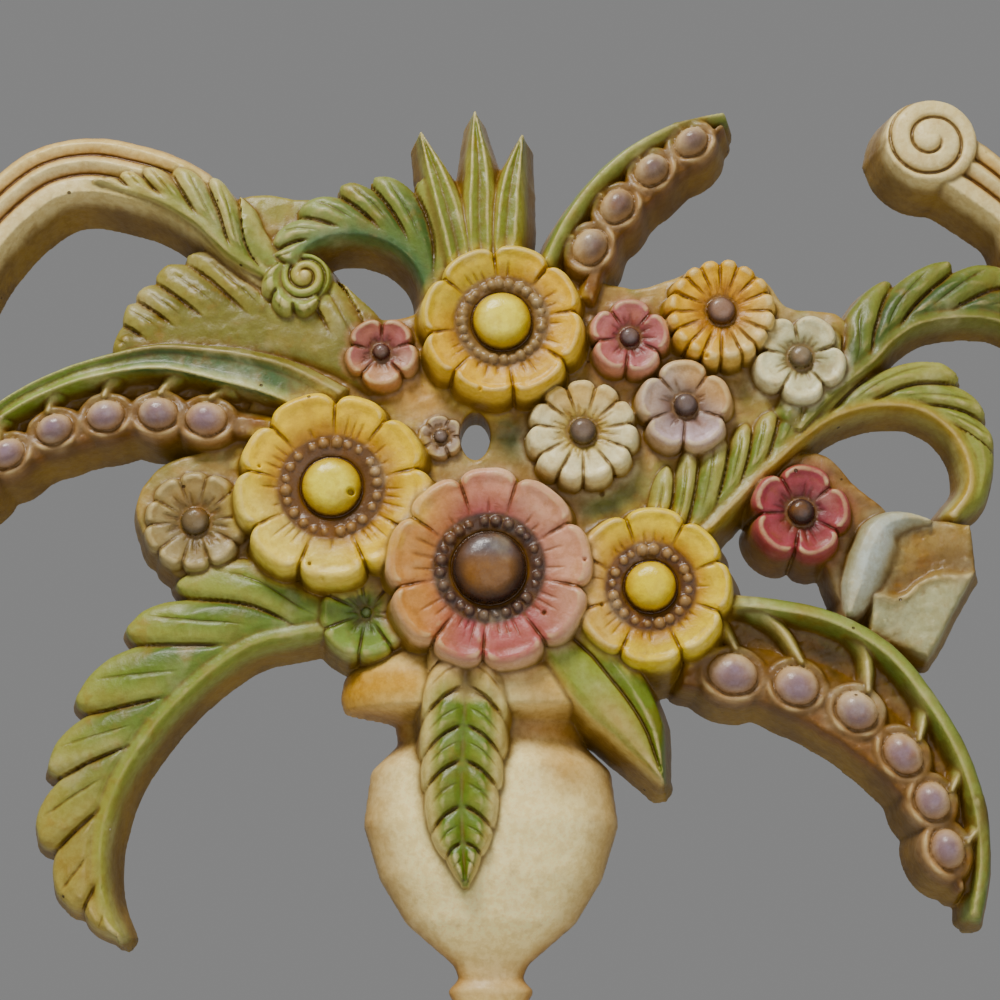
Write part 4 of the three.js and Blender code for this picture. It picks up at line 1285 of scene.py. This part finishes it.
class Nodes:
    """Short ways to make and join shader nodes."""

    def __init__(self, name):
        self.material = bpy.data.materials.new(name)
        self.material.use_nodes = True
        self.tree = self.material.node_tree
        self.tree.nodes.clear()

    def add(self, kind, inputs=None, **settings):
        node = self.tree.nodes.new(kind)
        for key, value in settings.items():
            setattr(node, key, value)
        for key, value in (inputs or {}).items():
            self.set(node.inputs[key], value)
        return node

    def set(self, socket, value):
        if isinstance(value, bpy.types.NodeSocket):
            self.tree.links.new(value, socket)
        elif hasattr(value, "__len__") and len(value) == 3 and socket.type == "RGBA":
            socket.default_value = (*[float(v) for v in value], 1.0)
        else:
            socket.default_value = value

    def math(self, operation, *values):
        node = self.add("ShaderNodeMath", operation=operation)
        for i, value in enumerate(values):
            self.set(node.inputs[i], value)
        return node.outputs[0]

    def plus(self, a, b):
        return self.math("ADD", a, b)

    def times(self, a, b):
        return self.math("MULTIPLY", a, b)

    def ramp(self, value, low, high):
        node = self.add("ShaderNodeMapRange", {0: value, 1: low, 2: high}, interpolation_type="SMOOTHSTEP")
        node.clamp = True
        return node.outputs[0]

    def noise(self, where, scale, detail=3.0, roughness=0.55):
        inputs = {"Vector": where, "Scale": scale, "Detail": detail, "Roughness": roughness}
        return self.add("ShaderNodeTexNoise", inputs).outputs["Fac"]

    def blend(self, a, b, share, strength=None, kind="MIX"):
        """Goes from a to b by the share, times a strength if one is given."""
        if strength is not None:
            share = self.times(share, strength)
        node = self.add("ShaderNodeMix", data_type="RGBA", blend_type=kind)
        self.set(node.inputs["Factor"], share)
        self.set(node.inputs[6], a)
        self.set(node.inputs[7], b)
        return node.outputs[2]

    def read(self, name, output="Fac"):
        return self.add("ShaderNodeAttribute", attribute_name=name).outputs[output]

    def finished(self, inputs):
        """The material, with a principled shader of these inputs."""
        shader = self.add("ShaderNodeBsdfPrincipled", inputs)
        output = self.add("ShaderNodeOutputMaterial")
        self.tree.links.new(shader.outputs[0], output.inputs[0])
        return self.material


def brushed(n, broad, soft):
    """The stored colour, a little uneven."""
    tint = n.read("tint", "Color")
    tint = n.blend(tint, (1.0, 0.90, 0.60), n.ramp(broad, 0.52, 0.75), 0.16)
    tint = n.blend(tint, srgb(*AMBER) * 0.8, n.ramp(broad, 0.48, 0.25), 0.3)
    return n.blend(tint, srgb(*AMBER), n.ramp(soft, 0.55, 0.8), 0.35)


def carved(n, name, waver, outer, inner):
    """How much a carved line shows: nothing beyond the outer distance, all of it within the inner one."""
    gap = n.plus(n.math("ABSOLUTE", n.read(name)), waver)
    return n.times(n.ramp(gap, outer, inner), n.read(name + "_strength"))


def glazed_and_shaded(n, tint, fine, unsteady, in_line, in_fine):
    """Brown glaze in small hollows and in carved lines, and painted shade: brown darkening over wide hollows
    and where forms meet.
    """
    shade_in_deep = n.ramp(n.plus(n.read("deep"), unsteady), 0.8, 4.2)
    in_hollow = n.ramp(n.plus(n.read("hollow"), unsteady), 0.15, 1.1)
    shade_at_joint = n.ramp(n.plus(n.read("joint"), fine), 2.0, 0.4)
    # painted shade over the wide hollows, where little light reaches
    tint = n.blend(tint, srgb(120, 86, 32), shade_in_deep, 0.65)
    tint = n.blend(tint, srgb(108, 76, 32), in_hollow, 0.56)
    # painted shade at the feet of the forms, where one meets the next
    tint = n.blend(tint, srgb(88, 62, 28), shade_at_joint, 0.62)
    tint = n.blend(tint, (0.34, 0.25, 0.14), in_line, 0.85, "MULTIPLY")
    return n.blend(tint, (0.45, 0.34, 0.2), in_fine, 0.75, "MULTIPLY")


def rubbed(n, tint, unsteady):
    """Worn high edges show the pale ground."""
    high = n.ramp(n.math("SUBTRACT", unsteady, n.read("hollow")), 0.45, 1.2)
    return n.blend(tint, srgb(*CREAM), n.times(high, 0.5), n.read("wear"))


def browned_walls(n, tint, broad, soft):
    """The walls turn brown, more so the further they lie below the front."""
    down = n.plus(n.read("below"), n.times(n.math("SUBTRACT", soft, 0.5), 3.0))
    wall_brown = n.blend(srgb(140, 112, 50), srgb(106, 80, 36), n.ramp(broad, 0.3, 0.7))
    return n.blend(tint, wall_brown, n.ramp(down, 1.6, 8.0), 0.9)


def bubble_pits_and_glints(n, where):
    """Air bubbles: the many dark pits, and a few white dots that are painted glints, as if light caught in
    the bubbles.
    """
    cells = n.add("ShaderNodeTexVoronoi", {"Vector": where, "Scale": 130.0, "Randomness": 1.0})
    chance = n.add("ShaderNodeSeparateColor", {0: cells.outputs["Color"]}).outputs
    gap = cells.outputs["Distance"]
    dark = n.times(n.ramp(gap, 0.09, 0.05), n.math("GREATER_THAN", chance[0], 0.9))
    # a few cells get a white dot: a painted glint
    glint_mask = n.times(n.ramp(gap, 0.06, 0.035), n.math("GREATER_THAN", chance[1], 0.965))
    return dark, glint_mask


def small_relief(n, soft, fine, grain, in_line, in_fine, pit):
    """What the mesh is too coarse for, as a bump."""
    height = n.times(grain, 0.06)
    deepened = n.times(in_line, in_line)
    for value, share in (fine, 0.20), (soft, 0.45), (deepened, -0.35), (in_fine, -0.2), (pit, -0.6):
        height = n.plus(height, n.times(value, share))
    return n.add("ShaderNodeBump", {"Height": height, "Distance": 0.001, "Strength": 0.85}).outputs[0]


def painted_plaster():
    n = Nodes("painted_plaster")
    where = n.add("ShaderNodeTexCoord").outputs["Object"]
    broad = n.noise(where, 60, 4)
    soft = n.noise(where, 150, 3)
    fine = n.noise(where, 420, 5, 0.6)
    grain = n.noise(where, 1500, 3, 0.7)
    unsteady = n.times(n.math("SUBTRACT", fine, 0.5), 0.8)
    in_line = carved(n, "line", n.times(fine, 0.6), 1.1, 0.45)
    in_fine = carved(n, "fine", n.times(fine, 0.5), 0.8, 0.3)
    tint = glazed_and_shaded(n, brushed(n, broad, soft), fine, unsteady, in_line, in_fine)
    tint = browned_walls(n, rubbed(n, tint, unsteady), broad, soft)

    # the unpainted back
    back = n.ramp(n.add("ShaderNodeSeparateXYZ", {0: where}).outputs[1], -0.0006, -0.0002)
    plaster = n.blend(srgb(220, 212, 194), srgb(200, 188, 164), n.ramp(broad, 0.35, 0.7))
    tint = n.blend(tint, plaster, back)

    # air bubbles, their painted glints, and a brown patina over it all
    pit, painted_glint = bubble_pits_and_glints(n, where)
    tint = n.blend(tint, srgb(*UMBER) * 0.8, pit, 0.85)
    # painted glints: white dots where light seems to catch in a bubble
    tint = n.blend(tint, (0.9, 0.88, 0.8), painted_glint, 0.9)
    patina = n.ramp(n.plus(fine, n.times(grain, 0.35)), 0.55, 0.82)
    tint = n.blend(tint, (0.72, 0.62, 0.46), patina, 0.45, "MULTIPLY")
    tint = n.add("ShaderNodeHueSaturation", {"Saturation": 1.1, "Value": 1.12, "Color": tint}).outputs[0]

    # glossier where no paint is rubbed off, and matt at the back
    rough = n.plus(0.32, n.times(fine, 0.2))
    rough = n.plus(rough, n.times(n.ramp(n.read("wear"), 0.3, 0.1), -0.16))
    rough = n.plus(rough, n.times(back, 0.3))
    return n.finished({
        "Base Color": tint, "Roughness": rough,
        "Normal": small_relief(n, soft, fine, grain, in_line, in_fine, pit),
        "Specular IOR Level": 0.32, "Coat Weight": 0.05, "Coat Roughness": 0.15,
    })


# ---------------------------------------------------------------- make the plaque


INSIDE = 2e-5  # the casting stays this many metres inside the part's box
SNAP = 0.3  # vertices this share of a cell from the back are put on it


def triangulated(obj):
    work = bmesh.new()
    work.from_mesh(obj.data)
    bmesh.ops.triangulate(work, faces=work.faces)
    bmesh.ops.recalc_face_normals(work, faces=work.faces)
    work.to_mesh(obj.data)
    work.free()


def store_paint(mesh, points, front):
    """Stores what the material reads: the tint, the wear and how hidden each place is."""
    owner, beside, joint, below = winners(points)
    tint, wear = painted(points, owner)
    tint = mix(tint, painted(points, beside)[0], BLEED_SHARE * (1 - step(0.0, BLEED, joint)))
    near = sum(ring_difference(front, *ring) for ring in NEAR_RINGS)
    wide = ring_difference(front, *WIDE_RING)
    on_front = at_plan(front, points[:, 0], points[:, 2])
    facing = np.clip(1 - (on_front - points[:, 1]) / FADE, 0, 1)
    store(mesh, "tint", np.clip(tint, 0, 1))
    store(mesh, "wear", wear)
    store(mesh, "below", below)
    # the joint also tells the material where to paint shade at the feet of the forms
    store(mesh, "joint", joint)
    store(mesh, "hollow", at_plan(near, points[:, 0], points[:, 2]) * facing)
    # the material paints shade over these wide hollows
    store(mesh, "deep", at_plan(wide, points[:, 0], points[:, 2]) * facing)


def store_lines(mesh, points):
    corners = np.empty(len(mesh.loops), np.int32)
    mesh.loops.foreach_get("vertex_index", corners)
    lines = carved_lines(points, corners.reshape(-1, 3))
    for i, name in enumerate(("line", "line_strength", "fine", "fine_strength")):
        store(mesh, name, lines[:, i], "CORNER")


def place_vertices(mesh, points):
    """From millimetres and depth to the frame's metres, kept just inside the part's box."""
    metres = np.stack([points[:, 0], -points[:, 1], points[:, 2]], 1) / 1000
    low = np.array(cad_low) + INSIDE
    high = np.array(cad_high) - INSIDE
    high[1] = 0.0
    metres = np.clip(metres, low, high)
    mesh.vertices.foreach_set("co", metres.astype(np.float32).ravel())
    mesh.flip_normals()
    mesh.update()


def make_plaque():
    field = build_field()
    obj = bpy.data.objects.new("plaque_relief", surface(field))
    bpy.context.scene.collection.objects.link(obj)
    obj = keep_largest(obj)
    thin_out(obj, TRIANGLES)
    triangulated(obj)
    mesh = obj.data
    points = vertices_of(mesh)
    points[:, 1] = np.where(np.abs(points[:, 1]) < CELL * SNAP, 0.0, points[:, 1])
    store_lines(mesh, points)
    store_paint(mesh, points, heights(field))
    place_vertices(mesh, points)
    mesh.shade_smooth()
    mesh.materials.clear()
    mesh.materials.append(painted_plaster())
    return obj


plaque = make_plaque()
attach(plaque, "root")
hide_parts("plaque")

# ---------------------------------------------------------------- floor, light and camera


def floor_material():
    n = Nodes("pale_floor")
    where = n.add("ShaderNodeTexCoord").outputs["Object"]
    tone = n.blend((0.60, 0.60, 0.59), (0.66, 0.66, 0.65), n.noise(where, 6, 4))
    return n.finished({"Base Color": tone, "Roughness": 0.8})


FLOOR_HEIGHT = -0.55
bpy.ops.mesh.primitive_plane_add(size=8, location=(0, 0, FLOOR_HEIGHT))
floor = bpy.context.object
floor.name = "floor"
floor.data.materials.append(floor_material())


MOUNT = Vector((0, 0, 0))


def area_light(name, place, size, power, colour):
    """A round lamp that points at the mount."""
    data = bpy.data.lights.new(name, "AREA")
    data.shape = "DISK"
    data.size = size
    data.energy = power
    data.color = colour
    lamp = bpy.data.objects.new(name, data)
    lamp.location = place
    lamp.rotation_euler = (MOUNT - Vector(place)).to_track_quat("-Z", "Y").to_euler()
    bpy.context.scene.collection.objects.link(lamp)


area_light("key", (-0.3, -0.8, 1.0), 0.4, 20, (1.0, 0.97, 0.92))
area_light("fill", (0.3, -1.3, -0.1), 1.2, 5, (0.95, 0.97, 1.0))
area_light("behind", (0, 1.5, 0.9), 1.0, 1.2, (1.0, 1.0, 1.0))

GREY = 0.235
world = bpy.data.worlds.new("studio")
world.use_nodes = True
background = world.node_tree.nodes["Background"]
background.inputs[0].default_value = (GREY, GREY, GREY, 1)
background.inputs[1].default_value = 1.0
bpy.context.scene.world = world

AIM = Vector((0.003, -0.022, 0.019))
DISTANCE = 0.72
TILT = math.radians(-15)
camera_data = bpy.data.cameras.new("camera")
camera_data.sensor_width = 36
camera_data.lens = 86.4
camera = bpy.data.objects.new("camera", camera_data)
camera.location = AIM + DISTANCE * Vector((0, -math.cos(TILT), math.sin(TILT)))
camera.rotation_euler = (AIM - camera.location).to_track_quat("-Z", "Y").to_euler()
bpy.context.scene.collection.objects.link(camera)
bpy.context.scene.camera = camera
